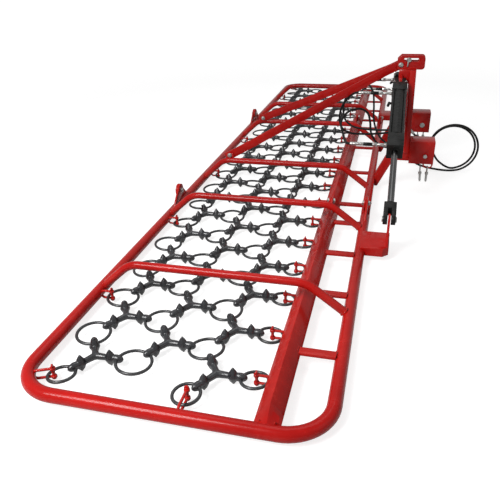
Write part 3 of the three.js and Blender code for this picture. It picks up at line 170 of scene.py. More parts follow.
redPaintLook = {
    "dark": (0.40, 0.004, 0.003), "light": (0.62, 0.013, 0.010), "broadScale": 2.2, "fineScale": 24,
    "dust": (0.42, 0.1, 0.08), "dustScale": 9, "dustFrom": 0.62, "dustMost": 0.12,
    "wear": (0.6, 0.08, 0.06), "wearMost": 0.4, "rough": (0.18, 0.3), "metal": 0.0, "shine": 0.16,
    "bump": 0.1, "bumpDepth": 0.0012, "bumpScale": 120, "coat": 0.12, "coatRough": 0.05,
}
castBlackLook = {
    "dark": (0.010, 0.0105, 0.012), "light": (0.03, 0.032, 0.037), "broadScale": 5, "fineScale": 60,
    "dust": (0.07, 0.07, 0.068), "dustScale": 26, "dustFrom": 0.6, "dustMost": 0.25,
    "wear": (0.2, 0.2, 0.21), "wearMost": 0.4, "rough": (0.2, 0.34), "metal": 0.0, "shine": 0.75,
    "bump": 0.34, "bumpDepth": 0.0014, "bumpScale": 190,
}
ringBlackLook = {
    "dark": (0.012, 0.013, 0.014), "light": (0.035, 0.037, 0.04), "broadScale": 6, "fineScale": 70,
    "dust": (0.1, 0.095, 0.09), "dustScale": 30, "dustFrom": 0.58, "dustMost": 0.3,
    "wear": (0.25, 0.25, 0.26), "wearMost": 0.4, "rough": (0.22, 0.34), "metal": 0.1, "shine": 0.65,
    "bump": 0.3, "bumpDepth": 0.0006, "bumpScale": 260,
}
ramBlackLook = {
    "dark": (0.0035, 0.004, 0.0035), "light": (0.009, 0.0098, 0.0088), "broadScale": 4, "fineScale": 45,
    "dust": (0.05, 0.05, 0.047), "dustScale": 14, "dustFrom": 0.64, "dustMost": 0.15,
    "wear": (0.12, 0.12, 0.12), "wearMost": 0.3, "rough": (0.22, 0.36), "metal": 0.0, "shine": 0.14,
    "bump": 0.12, "bumpDepth": 0.0005, "bumpScale": 220,
}
chromeLook = {
    "dark": (0.085, 0.086, 0.088), "light": (0.17, 0.17, 0.169), "broadScale": 3, "fineScale": 12,
    "dust": (0.1, 0.095, 0.09), "dustScale": 22, "dustFrom": 0.64, "dustMost": 0.3,
    "wear": (0.4, 0.4, 0.4), "wearMost": 0.2, "rough": (0.12, 0.24), "metal": 1.0,
    "bump": 0.05, "bumpDepth": 0.0002, "bumpScale": 300, "stretch": (1, 0.1, 1),
}
zincLook = {
    "dark": (0.28, 0.28, 0.27), "light": (0.56, 0.56, 0.54), "broadScale": 14, "fineScale": 90,
    "dust": (0.15, 0.14, 0.13), "dustScale": 40, "dustFrom": 0.6, "dustMost": 0.4,
    "wear": (0.8, 0.79, 0.76), "wearMost": 0.4, "rough": (0.24, 0.42), "metal": 1.0,
    "bump": 0.15, "bumpDepth": 0.0004, "bumpScale": 320,
}
hoseLook = {
    "dark": (0.003, 0.003, 0.0028), "light": (0.009, 0.009, 0.0086), "broadScale": 8, "fineScale": 120,
    "dust": (0.05, 0.05, 0.047), "dustScale": 30, "dustFrom": 0.62, "dustMost": 0.2,
    "wear": (0.04, 0.04, 0.04), "wearMost": 0.2, "rough": (0.38, 0.55), "metal": 0.0, "shine": 0.2,
    "bump": 0.3, "bumpDepth": 0.0003, "bumpScale": 520,
}
redPaint = makeFinish("red gloss paint", redPaintLook)
castBlack = makeFinish("cast link paint", castBlackLook)
ringBlack = makeFinish("ring wire paint", ringBlackLook)
ramBlack = makeFinish("ram paint", ramBlackLook)
chrome = makeFinish("hard chrome", chromeLook)
zinc = makeFinish("zinc plate", zincLook)
hoseRubber = makeFinish("hose rubber", hoseLook)
print("materials made")


# ---- modelling helpers

def pickOnly(*objects):
    if bpy.context.object and bpy.context.object.mode != "OBJECT":
        bpy.ops.object.mode_set(mode="OBJECT")
    bpy.ops.object.select_all(action="DESELECT")
    for obj in objects:
        obj.select_set(True)
    bpy.context.view_layer.objects.active = objects[0]


def settle(obj):
    pickOnly(obj)
    bpy.ops.object.transform_apply(location=True, rotation=True, scale=True)
    return obj


def roundEdges(obj, width, segments=2, angle=35):
    modifier = obj.modifiers.new("edges", "BEVEL")
    modifier.width = width
    modifier.segments = segments
    modifier.limit_method = "ANGLE"
    modifier.angle_limit = radians(angle)
    modifier.use_clamp_overlap = True
    pickOnly(obj)
    bpy.ops.object.modifier_apply(modifier=modifier.name)
    return obj


def smooth(obj, angle=40):
    pickOnly(obj)
    bpy.ops.object.shade_smooth_by_angle(angle=radians(angle))
    return obj


def paintWith(obj, material):
    obj.data.materials.clear()
    obj.data.materials.append(material)
    return obj


# Plate from an outline of (u, v) points, as thick as low to high along the named axis
def plate(outline, axis, low, high, bevel=1.2):
    bpy.ops.object.select_all(action="DESELECT")
    bpy.ops.mesh.primitive_circle_add(vertices=len(outline), fill_type="NGON")
    obj = bpy.context.object
    for vertex, (u, v) in zip(obj.data.vertices, outline):
        vertex.co = {"X": spot(low, u, v), "Y": spot(u, low, v), "Z": spot(u, v, low)}[axis]
    shift = {"X": (1, 0, 0), "Y": (0, 1, 0), "Z": (0, 0, 1)}[axis]
    bpy.ops.object.mode_set(mode="EDIT")
    bpy.ops.mesh.select_all(action="SELECT")
    bpy.ops.mesh.extrude_region_move(
        TRANSFORM_OT_translate={"value": [part * (high - low) / 1000 for part in shift]}
    )
    bpy.ops.mesh.select_all(action="SELECT")
    bpy.ops.mesh.normals_make_consistent(inside=False)
    bpy.ops.object.mode_set(mode="OBJECT")
    if bevel:
        roundEdges(obj, bevel / 1000)
    return smooth(obj)


def block(x0, x1, y0, y1, z0, z1, bevel=2.0):
    return plate([(x0, y0), (x1, y0), (x1, y1), (x0, y1)], "Z", z0, z1, bevel)


# Round bar between two spots, with its end edges rounded
def rod(start, end, radius, sides=24, bevel=0.8, tip=None):
    along = end - start
    bpy.ops.object.select_all(action="DESELECT")
    bpy.ops.mesh.primitive_cone_add(
        vertices=sides,
        radius1=radius / 1000,
        radius2=(radius if tip is None else tip) / 1000,
        depth=along.length,
    )
    obj = bpy.context.object
    obj.rotation_mode = "QUATERNION"
    obj.rotation_quaternion = along.to_track_quat("Z", "Y")
    obj.location = (start + end) / 2
    settle(obj)
    if bevel:
        roundEdges(obj, bevel / 1000, 2, 50)
    return smooth(obj, 50)


# Points of a tube that runs straight from corner to corner, with round bends
def bentPoints(corners, bend, steps):
    points = [corners[0]]
    for before, corner, after in zip(corners, corners[1:], corners[2:]):
        inward = (corner - before).normalized()
        outward = (after - corner).normalized()
        turn = inward.angle(outward)
        start = corner - inward * (bend / 1000) * tan(turn / 2)
        side = (outward - inward * cos(turn)).normalized()
        for step in range(steps + 1):
            angle = turn * step / steps
            points.append(start + inward * (bend / 1000) * sin(angle) + side * (bend / 1000) * (1 - cos(angle)))
    return points + [corners[-1]]


def curveThrough(points, radius, sides):
    data = bpy.data.curves.new("line", "CURVE")
    data.dimensions = "3D"
    data.bevel_depth = radius / 1000
    data.bevel_resolution = (sides - 4) // 2
    data.use_fill_caps = True
    spline = data.splines.new("POLY")
    spline.points.add(len(points) - 1)
    for target, point in zip(spline.points, points):
        target.co = (*point, 1)
    obj = bpy.data.objects.new("line", data)
    bpy.context.collection.objects.link(obj)
    return obj


def pipe(corners, radius, bend=100, steps=10, sides=28, wall=0):
    obj = curveThrough(bentPoints(corners, bend, steps) if len(corners) > 2 else corners, radius, sides)
    obj.data.use_fill_caps = not wall
    pickOnly(obj)
    bpy.ops.object.convert(target="MESH")
    obj = bpy.context.object
    bpy.ops.object.mode_set(mode="EDIT")
    bpy.ops.mesh.select_all(action="SELECT")
    bpy.ops.mesh.remove_doubles(threshold=0.00005)
    bpy.ops.mesh.normals_make_consistent(inside=False)
    bpy.ops.object.mode_set(mode="OBJECT")
    if wall:
        modifier = obj.modifiers.new("wall", "SOLIDIFY")
        modifier.thickness = wall / 1000
        modifier.offset = -1
        pickOnly(obj)
        bpy.ops.object.modifier_apply(modifier=modifier.name)
    return smooth(obj, 50)


# Weld bead: a ring of metal round a joint, uneven as a hand-laid weld is
def weldRing(centre, axis, radius, bead, beats=26):
    bpy.ops.object.select_all(action="DESELECT")
    bpy.ops.mesh.primitive_torus_add(
        major_radius=radius / 1000, minor_radius=bead / 1000, major_segments=beats * 3, minor_segments=8
    )
    obj = bpy.context.object
    for vertex in obj.data.vertices:
        turn = Vector((vertex.co.x, vertex.co.y, 0)).normalized()
        ring = turn * radius / 1000
        swell = 0.85 + 0.3 * noise.noise(vertex.co * 90 + centre)
        vertex.co = ring + (vertex.co - ring) * swell
    obj.rotation_mode = "QUATERNION"
    obj.rotation_quaternion = axis.to_track_quat("Z", "Y")
    obj.location = centre
    settle(obj)
    return smooth(obj, 80)


def weldLine(start, end, bead):
    count = max(6, int((end - start).length * 1000 / 2.5))
    points = [start.lerp(end, step / count) for step in range(count + 1)]
    obj = curveThrough(points, bead, 8)
    for index, point in enumerate(obj.data.splines[0].points):
        point.radius = 0.85 + 0.3 * noise.noise(points[index] * 170)
    pickOnly(obj)
    bpy.ops.object.convert(target="MESH")
    return smooth(bpy.context.object, 80)


def join(parts, name):
    pickOnly(*parts)
    if len(parts) > 1:
        bpy.ops.object.join()
    obj = bpy.context.object
    obj.name = name
    obj.data.name = name
    return settle(obj)


# A finished piece: it moves with its body and stands for its CAD nodes
def finish(obj, name, body, material=None, nodes=()):
    obj.name = name
    if material:
        paintWith(obj, material)
    settle(obj)
    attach(obj, body)
    if nodes:
        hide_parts(*nodes)
    return obj


def mirrorCopy(obj):
    twin = obj.copy()
    twin.data = obj.data.copy()
    bpy.context.collection.objects.link(twin)
    twin.data.transform(Matrix.Scale(-1, 4, (0, 1, 0)))
    twin.data.flip_normals()
    return twin


# Drawn for the left side, mirrored for the right
def finishPair(obj, name, body, material=None, nodes=()):
    twin = mirrorCopy(settle(obj))
    finish(obj, "left_" + name, body.format("left"), material, [node.format("left") for node in nodes])
    finish(twin, "right_" + name, body.format("right"), material, [node.format("right") for node in nodes])


# A CAD node's mesh, with its facets joined and its edges rounded
def dressed(node, bevel, angle=35, smoothAngle=40):
    source = bpy.data.objects[node]
    obj = source.copy()
    obj.data = source.data.copy()
    obj.parent = None
    for key in list(obj.keys()):
        del obj[key]
    bpy.context.collection.objects.link(obj)
    pickOnly(obj)
    bpy.ops.object.mode_set(mode="EDIT")
    bpy.ops.mesh.select_all(action="SELECT")
    bpy.ops.mesh.remove_doubles(threshold=0.00002)
    bpy.ops.mesh.dissolve_limited(angle_limit=radians(1))
    bpy.ops.object.mode_set(mode="OBJECT")
    if bevel:
        roundEdges(obj, bevel / 1000, 2, angle)
    return smooth(obj, smoothAngle)


# ---- hoses

hoses = {"radius": 6.5, "lead": 13}
ramPins = {"x": 1155, "topOut": 79, "topRise": 541, "apart": 1246.0, "lugRise": 159}
ports = {"upper": 138.6, "lower": 667, "out": 78, "collar": 44, "ferrule": 70}
tees = {"x": 1160.4, "out": 26, "upper": 219.3, "lower": 112.7, "high": 56}
blockSide = 84
ramAngle = asin((ramPins["topRise"] - ramPins["lugRise"]) / ramPins["apart"])


def onRam(x, along):
    return Vector((x, ramPins["topOut"] + along * cos(ramAngle), ramPins["topRise"] - along * sin(ramAngle)))


# A hose leaves its port and reaches its tee straight, for the length of a lead
hoseEnd = ramPins["x"] - blockSide / 2 - ports["out"] - ports["collar"] - ports["ferrule"] - harrow["gap"]
lead = hoses["lead"]
upperHoseRoute = [
    onRam(hoseEnd, ports["upper"]), onRam(hoseEnd - lead, ports["upper"]),
    (858, 142, 455), (820, 134, 398), (806, 122, 325), (822, 106, 256), (872, 84, 218),
    (950, 62, 207), (1040, 44, 208), (1110, 32, 214),
    (tees["x"] - lead, tees["out"], tees["upper"]), (tees["x"], tees["out"], tees["upper"]),
]
lowerHoseRoute = [
    onRam(hoseEnd, ports["lower"]), onRam(hoseEnd - lead, ports["lower"]),
    (868, 545, 340), (850, 505, 392), (880, 440, 436), (942, 370, 440), (985, 300, 400),
    (1000, 230, 330), (1010, 160, 240), (1050, 95, 160), (1105, 48, 122),
    (tees["x"] - lead, tees["out"], tees["lower"]), (tees["x"], tees["out"], tees["lower"]),
]


def spotsOf(points):
    return [spot(*point) for point in points]


# Same smooth line as the solid hoses: a cubic from point to point, with tangents by spacing
def tangentsOf(points):
    last = len(points) - 1
    spans = []
    for index in range(last):
        here, there = points[index], points[index + 1]
        before = points[index - 1] if index else here * 2 - there
        after = points[index + 2] if index + 2 <= last else there * 2 - here
        gaps = [max((b - a).length, 1e-6) ** 0.5 for a, b in ((before, here), (here, there), (there, after))]
        start = (here - before) / gaps[0] - (there - before) / (gaps[0] + gaps[1]) + (there - here) / gaps[1]
        end = (there - here) / gaps[1] - (after - here) / (gaps[1] + gaps[2]) + (after - there) / gaps[2]
        spans.append((start * gaps[1], end * gaps[1]))
    return spans


def smoothCurve(points, radius):
    data = bpy.data.curves.new("hose", "CURVE")
    data.dimensions = "3D"
    data.bevel_depth = radius / 1000
    data.bevel_resolution = 5
    data.resolution_u = 16
    data.use_fill_caps = True
    spline = data.splines.new("BEZIER")
    spline.bezier_points.add(len(points) - 1)
    spans = tangentsOf(points)
    for index, (target, point) in enumerate(zip(spline.bezier_points, points)):
        target.handle_left_type = target.handle_right_type = "FREE"
        target.co = point
        target.handle_left = point - (spans[index - 1][1] if index else spans[0][0]) / 3
        target.handle_right = point + (spans[index][0] if index < len(spans) else spans[-1][1]) / 3
    obj = bpy.data.objects.new("hose", data)
    bpy.context.collection.objects.link(obj)
    return obj


# A port hose runs as one smooth tube from its port on the ram to its tee, along its route
def portHose(name, side, route):
    way = 1 if side == "left" else -1
    points = [spot(x, way * y, z) for x, y, z in route]
    obj = smoothCurve(points, hoses["radius"])
    pickOnly(obj)
    bpy.ops.object.convert(target="MESH")
    obj = bpy.context.object
    obj.name = side + "_" + name
    paintWith(smooth(obj, 60), hoseRubber)
    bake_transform(obj)
    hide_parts(side + "_" + name)


for side in ("left", "right"):
    portHose("upper_hose", side, upperHoseRoute)
    portHose("lower_hose", side, lowerHoseRoute)

feed = {
    "groundRise": 6.8 - harrow["ground"], "couplerRise": 13.3 - harrow["ground"], "loopX": 1525, "couplerOut": 292,
    "drop": sqrt(0.5), "nipple": 42, "turns": 1.42, "steps": 12,
}


def loopPoints(radius, outStart, outEnd):
    points = []
    for step in range(feed["steps"]):
        share = step / (feed["steps"] - 1)
        turn = -0.5 * pi + share * feed["turns"] * pi
        points.append((
            feed["loopX"] + radius * cos(turn), outStart + (outEnd - outStart) * share,
            feed["groundRise"] + radius + radius * sin(turn),
        ))
    return points


def feedHose(name, start, route, coupler):
    drop = Vector((feed["drop"], 0, -feed["drop"]))
    first = Vector(start) + drop * (feed["nipple"] + harrow["gap"])
    points = spotsOf([
        first, first + drop * lead, *route, (coupler, feed["couplerOut"] - lead, feed["couplerRise"]),
        (coupler, feed["couplerOut"] - harrow["gap"], feed["couplerRise"]),
    ])
    obj = smoothCurve(points, hoses["radius"])
    obj.name = name
    obj.data.materials.append(hoseRubber)
    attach(obj, "centre")
    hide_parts(name)


crossTube = {"front": 1243, "half": 25, "rise": 191, "high": 50}
crossTubeX = crossTube["front"] - harrow["gap"] - crossTube["half"]
lowerTeeEnd = crossTube["rise"] - crossTube["high"] - harrow["gap"] - tees["high"]
upperTeeEnd = crossTube["rise"] + harrow["gap"] + tees["high"] / 2 + 9
feedHose("lower_feed_hose", (crossTubeX + 9, 0, lowerTeeEnd), [
    (1308, 1, 8), (1370, 6, -14), (1450, 14, feed["groundRise"] + 4), *loopPoints(148, 20, 42),
    (1362, 66, 40), (1342, 118, -5), (1326, 190, feed["couplerRise"]),
], 1322)
feedHose("upper_feed_hose", (crossTubeX + 23, 26, upperTeeEnd), [
    (1352, 52, 148), (1398, 64, 82), (1446, 68, 12), *loopPoints(137, 72, 98),
    (1398, 122, 42), (1392, 170, -8), (1388, 222, feed["couplerRise"]),
], 1385)
print("hoses laid")


# ---- frame tubes, with hinge ears and the shackles that hold the mat

length, endOut, hingeOut = harrow["length"], harrow["endOut"], harrow["hingeOut"]
wingWide = endOut - hingeOut
tubes = {"radius": 24.15, "wall": 4, "corner": 150, "weldRise": 22.4, "weldOut": 11.5, "bead": 2.6}
ears = {"nose": 36, "reach": 113, "thickness": 10, "beamNose": 20, "gap": 0.15, "sunk": 5, "boltSeat": 10.6}
hoops = {
    "radius": 16.85, "rise": 125, "bend": 110, "rear": 140, "front": 168, "rearCut": 0.16, "frontCut": 0.12,
    "weldRadius": 17.5, "bead": 3.2,
}
hoopFeet = {"outer": endOut - 0.406 * wingWide, "inner": endOut - 0.891 * wingWide, "centre": 0.536 * hingeOut}
mat = {
    "pitch": 250.5, "start": 190, "row": 223, "columns": 19, "rows": 3, "drop": 6.8,
    "reach": 84, "ring": 62, "hung": 46, "wire": 5.9, "legTurn": 121.3, "ringSink": 3.5, "sameSpot": 9,
}
shackle = {
    "wire": 5, "room": 16, "eye": 10, "eyeHalf": 5.5, "pin": 5.6, "top": 34, "foot": 25, "head": 9, "slack": 7,
    "drop": 0.55, "seat": 13, "rearFace": 19, "frontFace": 833,
}


def earPlate(x, footRise, toWing, nose):
    way = 1 if toWing else -1
    low = x + ears["gap"] if toWing else x - ears["gap"] - ears["thickness"]
    outline = [(hingeOut + way * ears["reach"], footRise)]
    for step in range(17):
        turn = (0.3 + 1.2 * step / 16) * pi
        outline.append((hingeOut + way * nose * cos(turn), harrow["hingeRise"] + nose * sin(turn)))
    outline.append((hingeOut + way * 8, footRise))
    return plate(outline, "X", low, low + ears["thickness"])


# Shackle drawn with its back at the origin and its upright pin at x = long: a bow in two bars,
# an eye on each, and a pin with a round head above and a nut below
def shackleParts(long):
    room, half, low, high = shackle["room"], shackle["eyeHalf"], -shackle["foot"], shackle["top"]
    bow = [spot(long, 0, room), spot(6, 0, room), spot(-4, 0, 0), spot(6, 0, -room), spot(long, 0, -room)]
    parts = [pipe(bow, shackle["wire"], 13, 5, 14)]
    for rise in (-room, room):
        parts.append(rod(spot(long, 0, rise - half), spot(long, 0, rise + half), shackle["eye"], 20, 2.2))
    parts.append(rod(spot(long, 0, low + 2), spot(long, 0, high - 8), shackle["pin"], 14, 0.6))
    parts.append(rod(spot(long, 0, low), spot(long, 0, low + 6), 8, 6, 1))
    parts.append(rod(spot(long - 3, 0, high - 9), spot(long + 3, 0, high - 9), shackle["head"], 20, 1.4))
    return parts


# A shackle with its pin at the spot, and its back as far off, against the turn, as backLong says
def shackleAt(pinX, pinY, backLong, turn):
    obj = join(shackleParts(backLong), "shackle")
    obj.data.transform(Matrix.Rotation(turn, 4, "Z") @ Matrix.Translation(-spot(backLong, 0, 0)))
    obj.data.transform(Matrix.Translation(spot(pinX, pinY, -mat["drop"] * shackle["drop"])))
    return obj


hungSpan = mat["reach"] + mat["hung"]
legTurn = radians(mat["legTurn"])
lastRowX = mat["start"] + (mat["rows"] - 1) * mat["row"]
rearRingX = mat["start"] - sqrt((mat["reach"] + mat["ring"]) ** 2 - (mat["pitch"] / 2) ** 2)
frontRingX = lastRowX + hungSpan
middleColumn = mat["columns"] // 2


def rearShackle(column):
    pinX = rearRingX - mat["ring"] + shackle["seat"]
    return shackleAt(pinX, column * mat["pitch"], pinX - shackle["rearFace"], 0)


def frontShackle(column):
    pinX = frontRingX + shackle["slack"]
    return shackleAt(pinX, column * mat["pitch"], shackle["frontFace"] - pinX, pi)


def sideShackle(rowX, ahead, out, backLong, turn):
    pinX = rowX + hungSpan * cos(legTurn) + ahead
    return shackleAt(pinX, middleColumn * mat["pitch"] + hungSpan * sin(legTurn) + out, backLong, turn)


def wingTube():
    start, footRise = hingeOut + ears["gap"], tubes["radius"] - ears["sunk"]
    corners = [spot(0, start, 0), spot(0, endOut, 0), spot(length, endOut, 0), spot(length, start, 0)]
    parts = [
        pipe(corners, tubes["radius"], tubes["corner"], 14, 32, tubes["wall"]),
        earPlate(0, footRise, True, ears["nose"]),
        earPlate(length, footRise, True, ears["nose"]),
        sideShackle(lastRowX, 6, 5, 82, -pi / 2),
        sideShackle(mat["start"], -27, 4, 64, radians(-24)),
    ]
    parts += [rearShackle(column) for column in (4.5, 7.5)]
    for x in (0, length):
        for y in (hingeOut + 14, hingeOut + 104):
            parts.append(weldLine(spot(x + 10, y - 3, 23), spot(x + 10, y + 3, 23), 2))
        parts.append(earWeld(x + tubes["weldOut"], hingeOut + 12, hingeOut + 108))
    return join(parts, "wing_tube_piece")


def earWeld(x, y0, y1):
    return weldLine(spot(x, y0, tubes["weldRise"]), spot(x, y1, tubes["weldRise"]), tubes["bead"])


def swapSide(obj):
    obj.data.transform(Matrix.Scale(-1, 4, (0, 1, 0)))
    obj.data.flip_normals()
    return obj


def centreRearTube():
    ends = [spot(0, -hingeOut + ears["gap"], 0), spot(0, hingeOut - ears["gap"], 0)]
    parts = [pipe(ends, tubes["radius"], sides=32, wall=tubes["wall"])]
    for way in (1, -1):
        side = [
            earPlate(0, tubes["radius"] - ears["sunk"], False, ears["nose"]),
            earWeld(-tubes["weldOut"], hingeOut - 108, hingeOut - 12),
            rearShackle(1.5),
        ]
        parts += side if way > 0 else [swapSide(piece) for piece in side]
    return join(parts, "centre_rear_tube_piece")


finishPair(wingTube(), "wing_tube_piece", "{}_wing", redPaint, ["{}_wing_tube"])
finish(centreRearTube(), "centre_rear_tube_piece", "centre", redPaint, ["centre_rear_tube"])
frontMember = dressed("centre_front_member", 3)
frontWelds = [
    weldLine(spot(length - ears["boltSeat"], y0, 26), spot(length - ears["boltSeat"], y1, 26), tubes["bead"])
    for y0, y1 in ((-883, -787), (787, 883))
]
frontPiece = join([frontMember, *frontWelds], "front")
finish(frontPiece, "centre_front_member_piece", "centre", redPaint, ["centre_front_member"])
print("frame tubes done")


# A hoop stands on the rear tube and the front one, with a weld round each foot
def hoopParts(y):
    rearTop, frontTop = hoops["rear"], length - hoops["front"]
    corners = [spot(0, y, 0), spot(rearTop, y, hoops["rise"]), spot(frontTop, y, hoops["rise"]), spot(length, y, 0)]
    line = bentPoints(corners, hoops["bend"], 10)
    line[0] = line[0].lerp(line[1], hoops["rearCut"])
    line[-1] = line[-1].lerp(line[-2], hoops["frontCut"])
    parts = [pipe(line, hoops["radius"], 100, 1, 24)]
    for x, tipX, reach in ((0, rearTop, 25), (length, frontTop, 26)):
        aim = Vector((tipX - x, 0, hoops["rise"])).normalized()
        centre = spot(x, y, 0) + aim * reach / 1000
        parts.append(weldRing(centre, aim, hoops["weldRadius"], hoops["bead"]))
    return parts


for name in ("outer", "inner"):
    hoop = join(hoopParts(hoopFeet[name]), "hoop")
    finishPair(hoop, name + "_hoop_piece", "{}_wing", redPaint, ["{}_" + name + "_hoop"])
lug = [(152, 120), (202, 120), (202, 160), (196, 166), (158, 166), (152, 160)]
centreHoop = hoopParts(hoopFeet["centre"])
centreHoop.append(plate(lug, "Y", 461.3, 469.3))
centreHoop.append(weldLine(spot(154, 466, 142), spot(200, 466, 142), tubes["bead"]))
finishPair(join(centreHoop, "hoop"), "centre_hoop_piece", "centre", redPaint, ["{}_centre_hoop"])
print("hoops done")


# ---- mat beams: an angle bar with its ridge up, its struts and its shackles

beam = {
    "x": 854, "foot": 14, "half": 42.43, "thick": 4.243, "barEnd": 62, "pressFrom": 66, "pressTo": 6, "pressed": 0.28,
    "wingStruts": (0.233, 0.478, 0.701, 0.914), "centreStruts": (0.293, 0.877),
}
strut = {"width": 35, "rise": 10, "thick": 12, "from": 884, "short": 21.5, "weldShort": 21}


def angleBar(y0, y1):
    x, foot, half, thick = (beam[key] for key in ("x", "foot", "half", "thick"))
    outline = [
        (x - half, foot), (x - half + thick, foot - thick), (x, foot + half - 2 * thick),
        (x + half - thick, foot - thick), (x + half, foot), (x, foot + half),
    ]
    return plate(outline, "Y", y0, y1, 2.2)


def pressedEnd(y0, y1):
    obj = angleBar(y0, y1)
    for vertex in obj.data.vertices:
        if vertex.co.y > y1 / 1000 - 0.01:
            low = (beam["foot"] + harrow["ground"]) / 1000
            vertex.co.z = low + (vertex.co.z - low) * beam["pressed"]
    return obj


def strutParts(y):
    half, start, end = strut["width"] / 2, strut["from"], length - strut["weldShort"]
    top = strut["rise"] + strut["thick"]
    return [
        block(start, length - strut["short"], y - half, y + half, strut["rise"], top, 1.5),
        weldLine(spot(start, y - half, top + 2), spot(start, y + half, top + 2), 3),
        weldLine(spot(end, y - half, top), spot(end, y + half, top), 3),
    ]


def beamEar(toWing):
    return earPlate(beam["x"], beam["foot"] + beam["half"] - 10, toWing, ears["beamNose"])


def wingBeam():
    parts = [
        angleBar(hingeOut + ears["gap"], endOut - beam["barEnd"]),
        pressedEnd(endOut - beam["pressFrom"], endOut - beam["pressTo"]),
        beamEar(True),
    ]
    for share in beam["wingStruts"]:
        parts += strutParts(endOut - share * wingWide)
    parts += [frontShackle(column) for column in range(4, 10)]
    for way in (-1, 1):
        low = spot(beam["x"] + way * 36, endOut - 24, beam["foot"])
        parts.append(weldLine(low, spot(beam["x"] + way * 22, endOut - 15, beam["foot"] + 12), 3))
    return join(parts, "beam")


def centreBeam():
    parts = [angleBar(-hingeOut + ears["gap"], hingeOut - ears["gap"]), frontShackle(0)]
    for way in (1, -1):
        side = [beamEar(False)]
        for share in beam["centreStruts"]:
            side += strutParts(share * hingeOut)
        side += [frontShackle(column) for column in (1, 2, 3)]
        parts += side if way > 0 else [swapSide(piece) for piece in side]
    return join(parts, "beam")


finishPair(wingBeam(), "wing_mat_beam_piece", "{}_wing", redPaint, ["{}_wing_mat_beam"])
finish(centreBeam(), "centre_mat_beam_piece", "centre", redPaint, ["centre_mat_beam"])
print("beams done")


# ---- mat of cast tine links and wire rings

tine = {
    "reach": 57, "rise": 35, "fall": 32.8, "base": 20, "waist": 12, "waistAt": 19, "tip": 4.6, "bar": 10.6,
    "hub": (17, 17, 13.5), "knuckle": (17, 15.5, 14), "eyeAt": 82, "eye": (25, 14.5, 16), "voxel": 1.8, "faces": 1300,
}
openHook = {"rise": 10.8, "bend": 76, "thick": 10, "thin": 5.6, "padAt": 86, "pad": (17, 11, 4.6)}


def ball(at, size):
    bpy.ops.object.select_all(action="DESELECT")
    bpy.ops.mesh.primitive_uv_sphere_add(segments=24, ring_count=14, radius=1)
    obj = bpy.context.object
    obj.scale = [part / 1000 for part in size]
    obj.location = at
    return settle(obj)


def fused(parts, name, voxel, faces):
    obj = join(parts, name)
    pickOnly(obj)
    remesh = obj.modifiers.new("skin", "REMESH")
    remesh.mode = "VOXEL"
    remesh.voxel_size = voxel / 1000
    bpy.ops.object.modifier_apply(modifier=remesh.name)
    soften = obj.modifiers.new("soften", "SMOOTH")
    soften.factor = 0.5
    soften.iterations = 2
    bpy.ops.object.modifier_apply(modifier=soften.name)
    thin = obj.modifiers.new("thin", "DECIMATE")
    thin.ratio = min(1.0, faces / max(1, len(obj.data.polygons) * 2))
    bpy.ops.object.modifier_apply(modifier=thin.name)
    return smooth(obj, 180)


# One leg from the hub: bar, tine up and down, and its end. hook is 0 for an eye closed on the
# ring, 1 for an open hook over the wire and -1 for one under it.
def legPattern(hook):
    reach = tine["reach"]
    parts = [
        rod(spot(-4, 0, 0), spot(reach, 0, 0), tine["bar"] + 2.6, 16, 0, tine["bar"]),
        ball(spot(0, 0, 0), tine["hub"]),
        ball(spot(reach, 0, 0), tine["knuckle"]),
    ]
    for way, long in ((1, tine["rise"]), (-1, tine["fall"])):
        waist = spot(reach, 0, way * tine["waistAt"])
        parts.append(rod(spot(reach, 0, 0), waist, tine["base"], 16, 0, tine["waist"]))
        parts.append(rod(waist, spot(reach, 0, way * (long - tine["tip"])), tine["waist"], 16, 0, tine["tip"]))
        parts.append(ball(spot(reach, 0, way * (long - tine["tip"])), [tine["tip"]] * 3))
    if hook == 0:
        parts.append(ball(spot(tine["eyeAt"], 0, 0), tine["eye"]))
    else:
        start, bend = spot(reach + 4, 0, hook * 2), spot(openHook["bend"], 0, hook * openHook["rise"])
        parts.append(rod(start, bend, openHook["thick"], 16, 0, openHook["thin"]))
        parts.append(ball(spot(openHook["padAt"], 0, hook * openHook["rise"]), openHook["pad"]))
    obj = fused(parts, "leg_pattern", tine["voxel"], tine["faces"])
    middle = harrow["ground"] / 1000
    rises = [vertex.co.z for vertex in obj.data.vertices]
    stretchDown = tine["fall"] / 1000 / (middle - min(rises))  # the spikes lose height as they are fused
    stretchUp = tine["rise"] / 1000 / (max(rises) - middle)
    for vertex in obj.data.vertices:
        vertex.co.z = middle + (vertex.co.z - middle) * (stretchUp if vertex.co.z > middle else stretchDown)
    return obj


legPatterns = {hook: legPattern(hook) for hook in (0, 1, -1)}
ringSeam = 0.7


def ringPattern(radius):
    bpy.ops.object.select_all(action="DESELECT")
    bpy.ops.mesh.primitive_torus_add(
        major_radius=radius / 1000, minor_radius=mat["wire"] / 1000, major_segments=44, minor_segments=10
    )
    obj = bpy.context.object
    for vertex in obj.data.vertices:  # a wire ring is never quite round or even
        wave = noise.noise(vertex.co * 14) * 0.0009
        vertex.co.x *= 1 + wave * 4
        vertex.co.y *= 1 - wave * 4
    obj.location = spot(0, 0, 0)
    settle(obj)
    seam = spot(radius * cos(ringSeam), radius * sin(ringSeam), 0)
    bead = weldRing(seam, Vector((-sin(ringSeam), cos(ringSeam), 0)), 3.8, 2.5, 5)
    return smooth(join([obj, bead], "ring_pattern"), 180)


ringPatterns = {radius: ringPattern(radius) for radius in (mat["ring"], mat["hung"])}


def sectionOf(y):
    if abs(y) <= hingeOut:
        return "centre"
    return "left_wing" if y > 0 else "right_wing"


